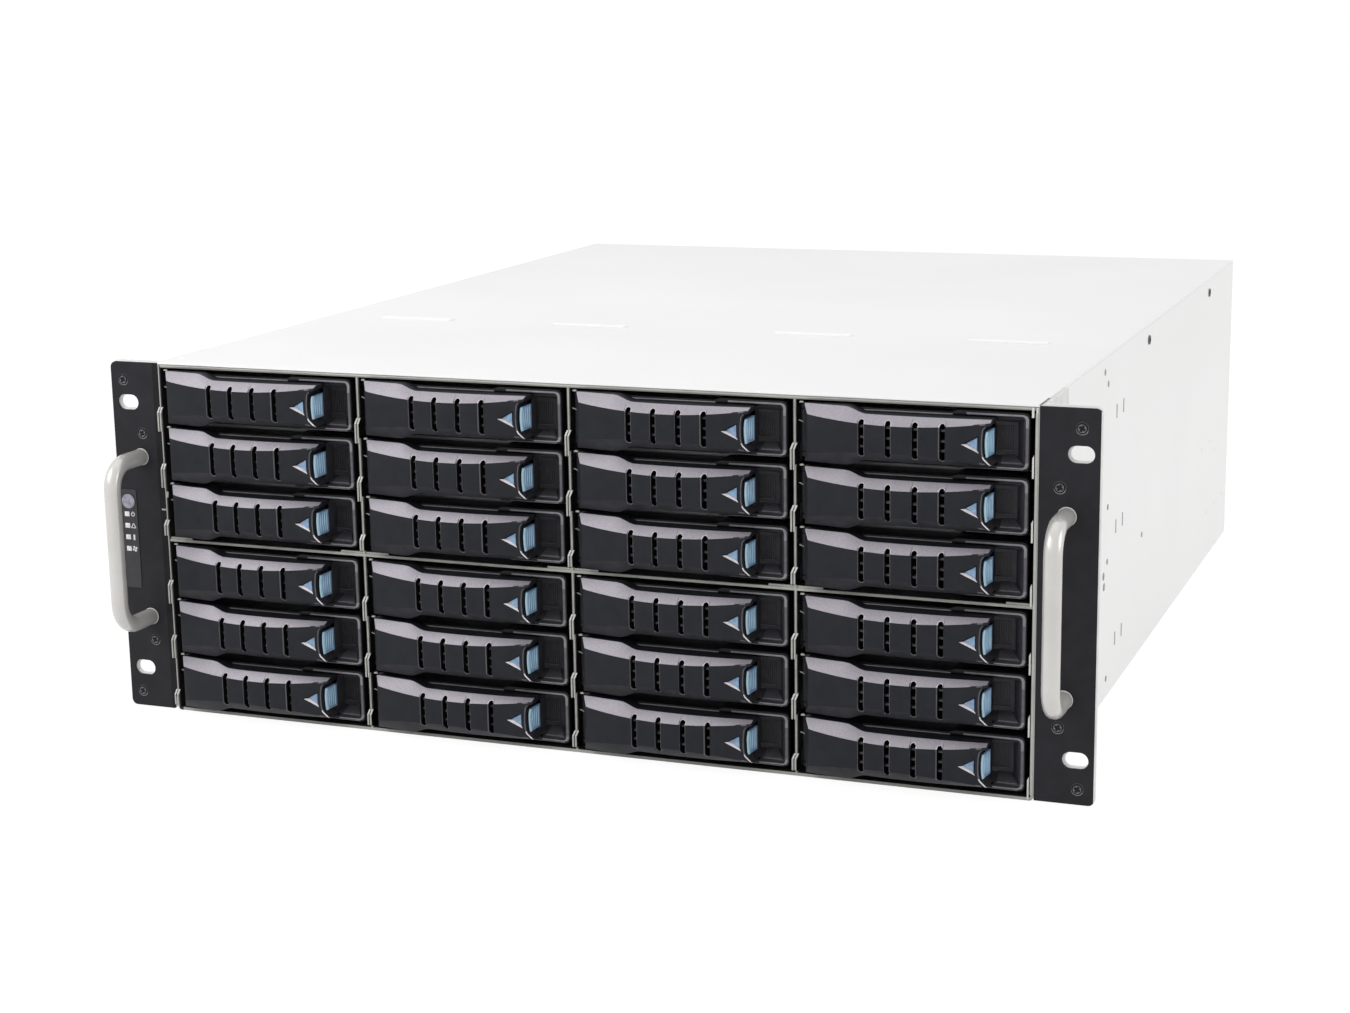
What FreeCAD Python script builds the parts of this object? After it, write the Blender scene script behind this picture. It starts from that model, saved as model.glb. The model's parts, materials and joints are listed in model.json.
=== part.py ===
"""Disk shelf enclosure: a 19 inch, 4U shelf with 24 pull-out disk carriers in four columns of six.

Units are millimetres. X runs across the front, +Y to the rear and +Z up. The origin is the middle
of the chassis bottom, in the plane where the rack ears bear on the rack's posts.
"""

import FreeCAD, Part

import math
import os

# Disk drives, the usual 3.5 inch size
drive_width = 101.6
drive_length = 147.0
drive_height = 26.1

# Drive bays
columns = 4
rows = 6
column_room = 5.4
row_room = 1.7
row_end_gap = 1.3
divider_sheet = 1.2
guide_joggle = 1.3
guide_slant = 1.8
guide_top_drop = 5.6
guide_bottom_drop = 15.4
guide_length = 9.0
ledge_sheet = 1.2
ledge_end = 150.0
shelf_tab_length = 12.0
shelf_tab_depth = 8.0
shelf_tab_sheet = 0.9
shelf_tab_set_back = 0.6
lip_height = 2.4

# Chassis
chassis_depth = 540.0
pan_sheet = 1.4
cover_sheet = 1.2
bend_radius = 2.0

# Rack ears: with the bays above they come to the standard 482.6 mm over both
ear_sheet = 2.0
ear_width = 26.5
rack_slot_from_side = 8.75
rack_slot_from_end = 20.125
rack_slot_width = 7.5
rack_slot_length = 11.5
ear_corner_radius = 3.0
ear_end_gap = 0.4
ear_leg_length = 46.0
ear_notch = 6.0

# Ear handles
handle_rod = 8.0
handle_reach = 26.0
handle_pitch = 80.0
handle_bend_radius = 12.0
handle_bend_steps = 3
handle_from_edge = 14.3

# Carriers: distances across are from the middle of the divider on the bay's left
arm_sheet = 1.0
arm_height = 14.0
arm_drop = 8.0
arm_gap = 0.4
arm_short_of_drive = 2.0
bezel_side_gap = 3.2
bezel_left = 12.5
bezel_row_gap = 3.0
bezel_step_drop = 1.0
bezel_step_end = 70.0
bezel_step_run = 2.5
bezel_corner = 2.0
bezel_depth = 14.0
finger_width = 15.1
finger_side_rim = 2.2
finger_rim = 2.65
finger_depth = 12.0
finger_ramp_rise = 3.0
finger_ramp_run = 7.0
hinge_x = 4.8
hinge_y = 3.0
hinge_plate_radius = 2.6
hinge_plate_sheet = 1.9
barrel_radius = 2.4
barrel_set_in = 3.1
barrel_end_gap = 0.3

# Latch levers
lever_left = 7.4
lever_overhang = 2.9
lever_back = 0.8
lever_arm_front = 1.0
lever_bulge_left = 6.6
lever_bulge_middle = 11.4
lever_bulge_right = 9.5
lever_face_left = 8.6
lever_face_middle = 5.9
lever_face_right = 9.0
lever_facet_depth = 3.5
lever_row_gap = 2.3
lever_step = 2.75
lever_step_start = 26.0
lever_step_end = 33.5
lever_slot_first = 33.0
lever_slot_pitch = 11.93
lever_slots = 4
lever_slot_width = 2.4
lever_slot_half_height = 8.0
lever_facets = 3
lever_gap = 0.7
arrow_from_end = 4.9
arrow_length = 7.6
arrow_half_height = 4.0
arrow_recess = 1.0
pocket_from_end = 3.8
pocket_half_height = 6.6
button_half_height = 5.9
button_sink = 2.5
button_run = 2.6
button_thick = 1.2
button_gap = 0.3

# Backplane
board_gap = 5.6
board_thick = 2.4
board_margin = 1.6
drive_socket_width = 42.0
drive_socket_height = 6.0
drive_socket_rise = 4.0
vent_width = 72.0
vent_height = 7.0
vent_rise = 5.0

# Rear modules
module_gap = 0.6
power_width = 100.0
bay_wall = 1.2
module_face = 1.6
module_sheet = 1.2
module_frame = 6.0
module_overlap = 3.0
module_face_gap = 1.0
module_plug_width = 60.0
module_plug_height = 12.0
module_plug_depth = 12.0
fan_radius = 38.0
fan_margin = 4.0
fan_depth = 30.0
fan_front_gap = 6.0
fan_hub_radius = 17.0
fan_hub_sides = 15
fan_blades = 5
fan_tip_gap = 1.5
fan_blade_chord = 22.0
fan_blade_thick = 1.6
fan_blade_pitch = 50.0
outlet_slots = 7
outlet_bar = 2.4
module_handle_reach = 24.0
module_handle_bar = 8.0
module_handle_thick = 3.0
handle_bow_slope = 8.0
power_handle_width = 62.0
expander_handle_width = 90.0
inlet_width = 27.0
inlet_height = 20.0
inlet_depth = 16.0
inlet_rise = 24.0
prong_pitch = 7.0
prong_thick = 2.0
prong_height = 6.0
prong_set_back = 3.0
ports = 3
first_port = 30.0
port_pitch = 26.0
port_width = 17.0
port_height = 8.0
port_depth = 14.0
port_rise = 18.0

# Covers
cover_flange = 15.0
cover_flange_gap = 4.0
cover_edge_radius = 0.8
tongue_width = 40.0
tongue_lap = 4.0
tongue_rise = 0.8
tongue_near = 61.0
tongue_far = 161.0

# Status panel on the left ear
panel_width = 8.3
panel_height = 49.3
panel_rise = 23.2
panel_edge_gap = 1.3
panel_film = 0.6
badge_radius = 3.7
badge_sides = 24
lamp_size = 3.0
lamp_pitch = 5.8
lamps = 4

# Worked out from the above
column_pitch = drive_width + column_room
row_pitch = drive_height + row_room
first_row_offset = row_pitch / 2 + divider_sheet
bezel_half_height = (row_pitch - bezel_row_gap) / 2
top_row_offset = first_row_offset + (rows / 2 - 1) * row_pitch
chassis_height = 2 * (top_row_offset + bezel_half_height + row_end_gap + lip_height)
half_span = columns * column_pitch / 2
wall_inside = half_span - divider_sheet / 2
wall_outside = wall_inside + pan_sheet
half_rack = wall_outside + ear_width
front_y = -ear_sheet
rear_y = front_y + chassis_depth
mid_z = chassis_height / 2
under_cover = chassis_height - cover_sheet
drive_front = bezel_depth + arm_sheet
drive_left = divider_sheet / 2 + arm_gap + arm_sheet
drive_right = drive_left + drive_width
board_y = front_y + drive_front + drive_length + board_gap
seam_y = board_y + board_thick
column_left = [-half_span + column_pitch * c for c in range(columns)]
row_middle = [mid_z + side * (first_row_offset + row_pitch * r)
              for side, r in [(1, 2), (1, 1), (1, 0), (-1, 0), (-1, 1), (-1, 2)]]
bezel_right = column_pitch - bezel_side_gap
finger_right = bezel_right - finger_side_rim
finger_left = finger_right - finger_width
finger_half_height = bezel_half_height - finger_rim
barrel_half_height = bezel_half_height - barrel_set_in
lever_right = finger_left + lever_overhang
lever_half_tall = (row_pitch - lever_row_gap) / 2
lever_half_slim = lever_half_tall - lever_step
arrow_base = lever_right - arrow_from_end
arrow_tip = arrow_base - arrow_length
pocket_left = lever_right - pocket_from_end


def vec(x, y, z):
    return FreeCAD.Vector(x, y, z)


def block(x0, x1, y0, y1, z0, z1):
    return Part.makeBox(x1 - x0, y1 - y0, z1 - z0, vec(x0, y0, z0))


def polygon(points):
    return Part.Face(Part.makePolygon(points + [points[0]]))


def prism_x(outline, x0, x1):
    """An outline of (y, z) points, drawn out along X."""
    return polygon([vec(x0, y, z) for y, z in outline]).extrude(vec(x1 - x0, 0, 0))


def prism_y(outline, y0, y1):
    """An outline of (x, z) points, drawn out along Y."""
    return polygon([vec(x, y0, z) for x, z in outline]).extrude(vec(0, y1 - y0, 0))


def prism_z(outline, z0, z1):
    """An outline of (x, y) points, drawn out along Z."""
    return polygon([vec(x, y, z0) for x, y in outline]).extrude(vec(0, 0, z1 - z0))


def rod_y(x, z, y0, y1, radius):
    return Part.makeCylinder(radius, y1 - y0, vec(x, y0, z), vec(0, 1, 0))


def ring_points(x, z, radius, sides):
    """The corners of a regular polygon about a point, as (x, z) pairs."""
    angles = [2 * math.pi * (n + 0.5) / sides for n in range(sides)]
    return [(x + radius * math.cos(a), z + radius * math.sin(a)) for a in angles]


def fuse(first, others):
    """One solid from pieces that touch, without seams between flush faces."""
    return first.multiFuse(others).removeSplitter() if others else first


def cut(shape, tools):
    return shape.cut(Part.makeCompound(tools))


def mirrored_x(shape):
    return shape.mirror(vec(0, 0, 0), vec(1, 0, 0))


def save(node, solids):
    """Writes one node's STEP file; pieces that stay apart are kept as separate solids."""
    shape = solids[0] if len(solids) == 1 else Part.makeCompound(solids)
    shape.exportStep("parts/" + node + ".step")


def guide_strip(row_z, floor_z):
    """The outline of a guide tongue, lanced from a divider and joggled to the left."""
    half = divider_sheet / 2
    top = row_z - guide_top_drop
    knee = top - guide_slant
    bottom = max(row_z - guide_bottom_drop, floor_z)
    return [(-half, top), (-half - guide_joggle, knee), (-half - guide_joggle, bottom),
            (half - guide_joggle, bottom), (half - guide_joggle, knee), (half, top)]


def guide_floor(row):
    """The lowest that a row's guide tongue may reach: clear of the middle shelf and of the pan."""
    clear = pan_sheet / 2
    return mid_z + divider_sheet / 2 + clear if row < rows / 2 else pan_sheet + clear


def guide_ledges(wall_x, left_side, right_side):
    """Ledges that the carriers' arms slide on, for the bays on either side of a wall."""
    start = front_y + bezel_depth + arm_sheet / 2
    end = front_y + ledge_end
    inner = divider_sheet / 2
    arm_left = drive_left - 0.25 * arm_sheet
    arm_right = column_pitch - drive_right - 0.35 * arm_sheet
    ledges = []
    for row_z in row_middle:
        top = row_z - arm_drop
        if right_side:
            ledges.append(block(wall_x + inner, wall_x + arm_left, start, end, top - ledge_sheet, top))
        if left_side:
            ledges.append(block(wall_x - arm_right, wall_x - inner, start, end, top - ledge_sheet, top))
    return ledges


def make_divider(x):
    half = divider_sheet / 2
    plate = block(x - half, x + half, front_y, board_y, pan_sheet, under_cover)
    lip_z = chassis_height - lip_height
    notches = [block(x - half, x + half, front_y, front_y + cover_sheet, lip_z, under_cover)]
    tongues = []
    for row, row_z in enumerate(row_middle):
        outline = guide_strip(row_z, guide_floor(row))
        bottom = outline[2][1]
        notches.append(block(x - half, x + half, front_y, front_y + guide_length, bottom,
                             row_z - guide_top_drop))
        tongues.append(prism_y([(x + px, pz) for px, pz in outline], front_y, front_y + guide_length))
    return fuse(cut(plate, notches), tongues + guide_ledges(x, True, True))


def make_middle_shelf(left):
    """One bay's width of the shelf between the upper and lower rows, with a tab on it at each end."""
    x0 = left + divider_sheet / 2
    x1 = left + column_pitch - divider_sheet / 2
    start = front_y + shelf_tab_set_back
    sheet = block(x0, x1, front_y, board_y, mid_z - divider_sheet, mid_z)
    tabs = [block(a, b, start, start + shelf_tab_depth, mid_z, mid_z + shelf_tab_sheet)
            for a, b in [(x0, x0 + shelf_tab_length), (x1 - shelf_tab_length, x1)]]
    return fuse(sheet, tabs)


def module_bays():
    """Left, right, bottom and top of each rear module's bay."""
    floor = pan_sheet
    power_in = wall_inside - power_width
    mid_gap = bay_wall / 2
    return {
        "power_module_left": (-wall_inside, -power_in, floor, under_cover),
        "power_module_right": (power_in, wall_inside, floor, under_cover),
        "expander_module_upper": (-power_in + bay_wall, power_in - bay_wall, mid_z + mid_gap, under_cover),
        "expander_module_lower": (-power_in + bay_wall, power_in - bay_wall, floor, mid_z - mid_gap),
    }


def make_pan():
    """The folded pan: bottom, two sides and rear frame, with guides for the outer bays."""
    outer = block(-wall_outside, wall_outside, front_y, rear_y, 0, under_cover)
    corners = [e for e in outer.Edges
               if abs(e.CenterOfMass.z) < 0.01 and abs(abs(e.CenterOfMass.x) - wall_outside) < 0.01]
    outer = outer.makeFillet(bend_radius, corners)
    inside = block(-wall_inside, wall_inside, front_y, rear_y, pan_sheet, under_cover)
    shell = outer.cut(inside)
    frame = block(-wall_inside, wall_inside, rear_y - pan_sheet, rear_y, pan_sheet, under_cover)
    edge = module_overlap
    windows = [block(x0 + edge, x1 - edge, rear_y - pan_sheet, rear_y, z0, z1 - edge)
               for x0, x1, z0, z1 in module_bays().values()]
    pieces = [cut(frame, windows)]
    pieces += guide_ledges(-half_span, False, True)
    pieces += guide_ledges(half_span, True, False)
    return fuse(shell, pieces)


def make_module_walls():
    """Sheets that part the rear module bays from each other."""
    bays = module_bays()
    front = seam_y
    back = rear_y - pan_sheet
    x0, x1 = bays["expander_module_upper"][:2]
    walls = [block(x0 - bay_wall, x0, front, back, pan_sheet, under_cover),
             block(x1, x1 + bay_wall, front, back, pan_sheet, under_cover)]
    walls.append(block(x0, x1, front, back, mid_z - bay_wall / 2, mid_z + bay_wall / 2))
    return walls


def make_front_cover():
    """The fixed strip over the drive bays, hemmed down at its front edge."""
    strip = block(-wall_outside, wall_outside, front_y, seam_y, under_cover, chassis_height)
    lip = block(-wall_inside, wall_inside, front_y, front_y + cover_sheet, chassis_height - lip_height,
                under_cover)
    cover = fuse(strip, [lip])
    front_edge = [e for e in cover.Edges
                  if abs(e.CenterOfMass.z - chassis_height) < 0.01 and abs(e.CenterOfMass.y - front_y) < 0.01]
    return cover.makeFillet(cover_edge_radius, front_edge)


def make_rear_cover():
    """The screwed cover over the electronics, with tongues that lap over the front strip."""
    lid = block(-wall_outside, wall_outside, seam_y, rear_y, under_cover, chassis_height)
    start = seam_y + cover_flange_gap
    end = rear_y - pan_sheet - cover_flange_gap
    top = chassis_height
    flange = block(wall_inside - cover_sheet, wall_inside, start, end, under_cover - cover_flange,
                   under_cover)
    pieces = [flange, mirrored_x(flange)]
    lap = seam_y - tongue_lap
    outline = [(lap, top), (lap, top + tongue_rise), (seam_y, top + tongue_rise), (seam_y + tongue_lap, top)]
    for x in (-tongue_far, -tongue_near, tongue_near, tongue_far):
        pieces.append(prism_x(outline, x - tongue_width / 2, x + tongue_width / 2))
    return fuse(lid, pieces)


def make_backplane():
    """The board behind the drives, its air slots, and its sockets for drives and rear modules."""
    half = wall_inside - board_margin
    board = block(-half, half, board_y, seam_y, pan_sheet + board_margin, under_cover - board_margin)
    vents = []
    sockets = []
    for left in column_left:
        middle = left + (drive_left + drive_right) / 2
        for row_z in row_middle:
            vent_z = row_z + vent_rise
            vents.append(block(middle - vent_width / 2, middle + vent_width / 2, board_y, seam_y,
                               vent_z - vent_height / 2, vent_z + vent_height / 2))
            socket_z = row_z - drive_height / 2 + drive_socket_rise
            sockets.append(block(middle - drive_socket_width / 2, middle + drive_socket_width / 2,
                                 board_y - board_gap, board_y, socket_z, socket_z + drive_socket_height))
    for x0, x1, z0, z1 in module_bays().values():
        x = (x0 + x1) / 2
        z = plug_middle(z0, z1)
        half_plug = module_plug_width / 2
        sockets.append(block(x - half_plug, x + half_plug, seam_y, seam_y + module_plug_depth,
                             z - module_plug_height / 2, z + module_plug_height / 2))
    return [cut(board, vents)] + sockets


def plug_middle(z0, z1):
    """Height of a rear module's plug, between the board's rows of air slots."""
    near = min(row_middle, key=lambda row_z: abs(row_z - (z0 + z1) / 2))
    return near + vent_rise - row_pitch / 2


def make_ear():
    """The right-hand rack ear: a flange with two rack slots, and a leg along the chassis side."""
    z0 = ear_end_gap
    z1 = chassis_height - ear_end_gap
    flange = block(wall_outside, half_rack, front_y, 0, z0, z1)
    corners = [e for e in flange.Edges
               if abs(e.CenterOfMass.x - half_rack) < 0.01 and abs(e.CenterOfMass.y - front_y / 2) < 0.01]
    flange = flange.makeFillet(ear_corner_radius, corners)
    leg = block(wall_outside, wall_outside + ear_sheet, 0, ear_leg_length, z0, z1)
    ear = fuse(flange, [leg])
    slots = []
    half_run = (rack_slot_length - rack_slot_width) / 2
    radius = rack_slot_width / 2
    x = half_rack - rack_slot_from_side
    for z in (rack_slot_from_end, chassis_height - rack_slot_from_end):
        slots.append(block(x - half_run, x + half_run, front_y, 0, z - radius, z + radius))
        slots.append(rod_y(x - half_run, z, front_y, 0, radius))
        slots.append(rod_y(x + half_run, z, front_y, 0, radius))
    notch = block(wall_outside, wall_outside + ear_sheet, front_y, ear_leg_length, z0, z0 + ear_notch)
    return ear.cut(fuse(slots[0], slots[1:])).cut(notch)


def make_handle():
    """The right-hand ear handle, a rod bent twice through a right angle."""
    x = half_rack - handle_from_edge
    straight = handle_pitch / 2 - handle_bend_radius
    bend_y = front_y - handle_reach + handle_bend_radius
    half = [(vec(x, front_y, mid_z + handle_pitch / 2), vec(0, 1, 0))]
    for step in range(handle_bend_steps + 1):
        angle = math.pi / 2 * step / handle_bend_steps
        sine, cosine = math.sin(angle), math.cos(angle)
        centre = vec(x, bend_y - handle_bend_radius * sine, mid_z + straight + handle_bend_radius * cosine)
        half.append((centre, vec(0, cosine, sine)))
    other = [(vec(x, c.y, chassis_height - c.z), vec(0, -n.y, n.z)) for c, n in reversed(half)]
    rings = [Part.Wire(Part.makeCircle(handle_rod / 2, c, n)) for c, n in half + other]
    return Part.makeLoft(rings, True, True)


def make_status_panel():
    """The film on the left ear, with its round blank badge and a column of lamps."""
    left = -half_rack + panel_edge_gap
    front = front_y - panel_film
    panel_top = mid_z + panel_rise
    film = block(left, left + panel_width, front, front_y, panel_top - panel_height, panel_top)
    pieces = [film]
    badge_z = panel_top - panel_width / 2 - badge_radius / 3
    badge = ring_points(left + panel_width / 2, badge_z, badge_radius, badge_sides)
    pieces.append(prism_y(badge, front - panel_film, front))
    lamp_x = left + panel_width * 0.32
    for lamp in range(lamps):
        z = badge_z - badge_radius - lamp_size - lamp * lamp_pitch
        pieces.append(block(lamp_x - lamp_size / 2, lamp_x + lamp_size / 2, front - panel_film / 2, front,
                            z - lamp_size / 2, z + lamp_size / 2))
    return pieces


def make_bezel():
    """A carrier's moulded front, in the bay's own frame.

    There x runs from the middle of the divider on the bay's left, y from the front and z from the
    row's middle.
    """
    h = bezel_half_height
    low = h - bezel_step_drop
    step = bezel_step_end
    c = bezel_corner
    upper = [(step, low), (step + bezel_step_run, h), (bezel_right - c, h), (bezel_right, h - c)]
    lower = [(x, -z) for x, z in reversed(upper)]
    body = prism_y([(bezel_left, low)] + upper + lower + [(bezel_left, -low)], 0, bezel_depth)
    floor_y = lever_back + lever_gap
    seat = lever_half_slim + lever_gap / 2
    f = finger_half_height
    body = cut(body, [
        block(0, lever_step_end + lever_gap, 0, floor_y, -h, h),
        block(0, lever_right + lever_gap, 0, floor_y, -seat, seat),
        block(finger_left, finger_right, 0, finger_depth, -f, f),
    ])
    ramp = prism_x([(finger_depth, -f), (finger_depth - finger_ramp_run, -f),
                    (finger_depth, finger_ramp_rise - f)], finger_left + lever_gap * 3, finger_right)
    z0 = barrel_half_height + barrel_end_gap
    r = hinge_plate_radius
    c = r * math.tan(math.pi / 8)
    outline = [(hinge_x + c, hinge_y - r), (hinge_x - c, hinge_y - r), (hinge_x - r, hinge_y - c),
               (hinge_x - r, bezel_depth), (bezel_left, bezel_depth), (bezel_left, floor_y),
               (hinge_x + r, floor_y)]
    plate = prism_z(outline, z0, z0 + hinge_plate_sheet)
    lower_plate = prism_z(outline, -z0 - hinge_plate_sheet, -z0)
    return fuse(body, [ramp, plate, lower_plate])


def make_tray():
    """The bent steel strip that holds a drive: a cross web behind the bezel and an arm along each side."""
    x0 = drive_left - arm_sheet
    x1 = drive_right + arm_sheet
    web = bezel_depth + arm_sheet
    end = drive_front + drive_length - arm_short_of_drive
    outline = [(x0, bezel_depth), (x1, bezel_depth), (x1, end), (drive_right, end), (drive_right, web),
               (drive_left, web), (drive_left, end), (x0, end)]
    return prism_z(outline, -arm_drop, arm_height - arm_drop)


def make_drive():
    """A disk drive of the standard size, held between the tray's arms."""
    h = drive_height / 2
    return block(drive_left, drive_right, drive_front, drive_front + drive_length, -h, h)


def bowed(left, middle, right, x):
    """A value that changes as a parabola along the lever, given at its two ends and its middle."""
    centre = (lever_left + lever_right) / 2
    t = (x - centre) / (lever_right - centre)
    return middle + t * (right - left) / 2 + t * t * ((right + left) / 2 - middle)


def lever_section(x):
    """The lever's section at one place: from its upper back edge round the front to the lower one."""
    bulge = bowed(lever_bulge_left, lever_bulge_middle, lever_bulge_right, x)
    face = bowed(lever_face_left, lever_face_middle, lever_face_right, x)
    side = lever_half_tall if x <= lever_step_start else lever_half_slim
    half = [vec(x, lever_back, side), vec(x, lever_facet_depth - bulge, side), vec(x, -bulge, face)]
    return half + [vec(p.x, p.y, -p.z) for p in reversed(half)]


def faceted(sections):
    """A solid with flat facets between sections that have the same number of points."""
    faces = [polygon(sections[0]), polygon(sections[-1])]
    for a, b in zip(sections, sections[1:]):
        for n in range(len(a)):
            m = (n + 1) % len(a)
            faces += [polygon([a[n], a[m], b[n]]), polygon([a[m], b[m], b[n]])]
    return Part.Solid(Part.Shell(faces)).removeSplitter()


def button_line(shift):
    """The two ends of the button's sloping face, seen from above, moved along X by a shift."""
    x = pocket_left + button_gap + shift
    return (x, button_sink - lever_bulge_right), (x + button_run, lever_back - button_gap)


def make_pocket():
    """The space for the release button: open to the front and to the lever's right end."""
    wide = lever_right + lever_bulge_middle
    front = -2 * lever_bulge_middle
    back = lever_back + button_thick
    near, far = button_line(-button_thick)
    run = (far[0] - near[0]) / (far[1] - near[1])
    outline = [(pocket_left, front), (wide, front), (wide, back), (near[0] + (back - near[1]) * run, back),
               (pocket_left, near[1] + (pocket_left - near[0]) / run)]
    return prism_z(outline, -pocket_half_height, pocket_half_height)


def make_button():
    """The release button, leaning back in its pocket towards the lever's right end."""
    near, far = button_line(0)
    rear = button_line(-button_thick)[1]
    corner = (near[0], near[1] + (far[1] - near[1]) * button_thick / button_run)
    return prism_z([near, far, rear, corner], -button_half_height, button_half_height)


def make_arrow():
    """The triangular lens on the lever's front, pointing to the hinge."""
    floor_y = -lever_bulge_right + arrow_recess / 4
    outline = [(arrow_tip, 0), (arrow_base, -arrow_half_height), (arrow_base, arrow_half_height)]
    return outline, floor_y


def make_lever(arrow_outline, arrow_y):
    """The lever moulding, in the bay's own frame."""
    slim_run = (lever_right - lever_step_end) / lever_facets
    xs = [lever_left, lever_step_start] + [lever_step_end + n * slim_run for n in range(lever_facets + 1)]
    body = faceted([lever_section(x) for x in xs])

    half = lever_slot_width / 2
    h = lever_slot_half_height
    tools = []
    for n in range(lever_slots):
        x = lever_slot_first + n * lever_slot_pitch
        tools.append(block(x - half, x + half, -2 * lever_bulge_middle, lever_back, -h, h))
    tools.append(prism_y(arrow_outline, -2 * lever_bulge_middle, arrow_y))
    body = cut(body, tools + [make_pocket()])

    r = barrel_radius
    c = r * math.tan(math.pi / 8)
    arm = prism_z([(hinge_x + c, hinge_y + r), (hinge_x - c, hinge_y + r), (hinge_x - r, hinge_y + c),
                   (hinge_x - r, hinge_y - c), (hinge_x - c, hinge_y - r), (lever_left, -lever_arm_front),
                   (bezel_left - lever_gap, -lever_arm_front), (bezel_left - lever_gap, lever_back)],
                  -barrel_half_height, barrel_half_height)
    return fuse(body, [arm])


def make_module_case(bay, solid_depth):
    """A rear module's sheet case and face, open inside ahead of its solid rear end."""
    x0, x1, z0, z1 = bay
    inset = module_overlap + module_gap
    front = seam_y + module_plug_depth
    gap = module_face_gap
    wall = module_sheet
    case = fuse(block(x0 + inset, x1 - inset, front, rear_y, z0, z1 - inset),
                [block(x0 + gap, x1 - gap, rear_y, rear_y + module_face, z0 - gap, z1 - gap)])
    plug_z = plug_middle(z0, z1)
    plug_half = module_plug_height / 2 + wall
    inner = (x0 + inset + wall, x1 - inset - wall)
    frame = module_frame
    return cut(case, [
        block(inner[0], inner[1], front + wall, rear_y - solid_depth, z0 + wall, z1 - inset - wall),
        block(inner[0] + frame, inner[1] - frame, front, front + wall, z0 + frame, plug_z - plug_half),
        block(inner[0] + frame, inner[1] - frame, front, front + wall, plug_z + plug_half,
              z1 - inset - frame),
    ])


def make_power_module(bay):
    """A power and cooling module: case with a slotted air outlet, fan, mains inlet and handle."""
    x0, x1, z0, z1 = bay
    middle = (x0 + x1) / 2
    fan_z = z1 - module_overlap - module_gap - fan_margin - fan_radius
    face_y = rear_y + module_face
    reach = fan_radius + fan_tip_gap
    inlet_z = z0 + inlet_rise
    handle_z = (fan_z - reach + inlet_z + inlet_height / 2) / 2
    cuts = [block(middle - reach, middle + reach, rear_y - fan_depth, rear_y, fan_z - reach, fan_z + reach),
            block(middle - inlet_width / 2, middle + inlet_width / 2, face_y - inlet_depth, face_y,
                  inlet_z - inlet_height / 2, inlet_z + inlet_height / 2)]
    for side in (-1, 1):
        near, far = sorted((middle + side * fan_hub_radius, middle + side * reach))
        cuts.append(block(near, far, rear_y - fan_depth - module_frame, rear_y - fan_depth, fan_z - reach,
                          fan_z + reach))
    pitch = 2 * reach / outlet_slots
    for n in range(outlet_slots):
        slot_z = fan_z - reach + (n + 0.5) * pitch
        cuts.append(block(middle - reach + outlet_bar, middle + reach - outlet_bar, rear_y, face_y,
                          slot_z - (pitch - outlet_bar) / 2, slot_z + (pitch - outlet_bar) / 2))
    prongs = [block(middle + n * prong_pitch - prong_thick / 2, middle + n * prong_pitch + prong_thick / 2,
                    face_y - inlet_depth, face_y - prong_set_back, inlet_z - prong_height / 2,
                    inlet_z + prong_height / 2) for n in (-1, 0, 1)]
    handle = make_module_handle(middle, handle_z, face_y, power_handle_width)
    case = cut(make_module_case(bay, fan_depth + module_frame), cuts)
    return [case, make_fan(middle, fan_z), handle] + prongs


def make_fan(x, z):
    """A fan rotor: a hub with pitched blades, standing on the back wall of its duct."""
    y0 = rear_y - fan_depth
    y1 = rear_y - fan_front_gap
    hub = prism_y(ring_points(x, z, fan_hub_radius, fan_hub_sides), y0, y1)
    blade = block(-fan_blade_chord / 2, fan_blade_chord / 2, -fan_blade_thick / 2, fan_blade_thick / 2,
                  fan_hub_radius - fan_blade_thick, fan_radius)
    blade.rotate(vec(0, 0, 0), vec(0, 0, 1), fan_blade_pitch)
    blade.translate(vec(x, (y0 + y1) / 2, z))
    blades = []
    for n in range(fan_blades):
        turned = blade.copy()
        turned.rotate(vec(x, 0, z), vec(0, 1, 0), 360.0 * n / fan_blades)
        blades.append(turned)
    return fuse(hub, blades)


def make_module_handle(x, z, y, width):
    """A plain bow handle, bent from flat bar."""
    def bow(inset):
        foot = width / 2 - inset
        crest = foot - handle_bow_slope
        top = y + module_handle_reach - inset
        return [(x - foot, y), (x - crest, top), (x + crest, top), (x + foot, y)]

    outline = bow(0) + bow(module_handle_thick)[::-1]
    return prism_z(outline, z - module_handle_bar / 2, z + module_handle_bar / 2)


def make_expander_module(bay):
    """An expander module: case, cable ports and handle."""
    x0, x1, z0, z1 = bay
    face_y = rear_y + module_face
    port_z = z0 + port_rise
    openings = []
    for n in range(ports):
        x = x0 + first_port + n * port_pitch
        openings.append(block(x, x + port_width, face_y - port_depth, face_y, port_z - port_height / 2,
                              port_z + port_height / 2))
    handle_z = z0 + (z1 - z0) * 2 / 3
    case = cut(make_module_case(bay, port_depth + module_frame), openings)
    return [case, make_module_handle((x0 + x1) / 2, handle_z, face_y, expander_handle_width)]


def place(shapes, left, row_z):
    """Copies of a bay's pieces, moved from the bay's own frame to one bay."""
    moved = []
    for shape in shapes:
        copy = shape.copy()
        copy.translate(vec(left, front_y, row_z))
        moved.append(copy)
    return moved


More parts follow.
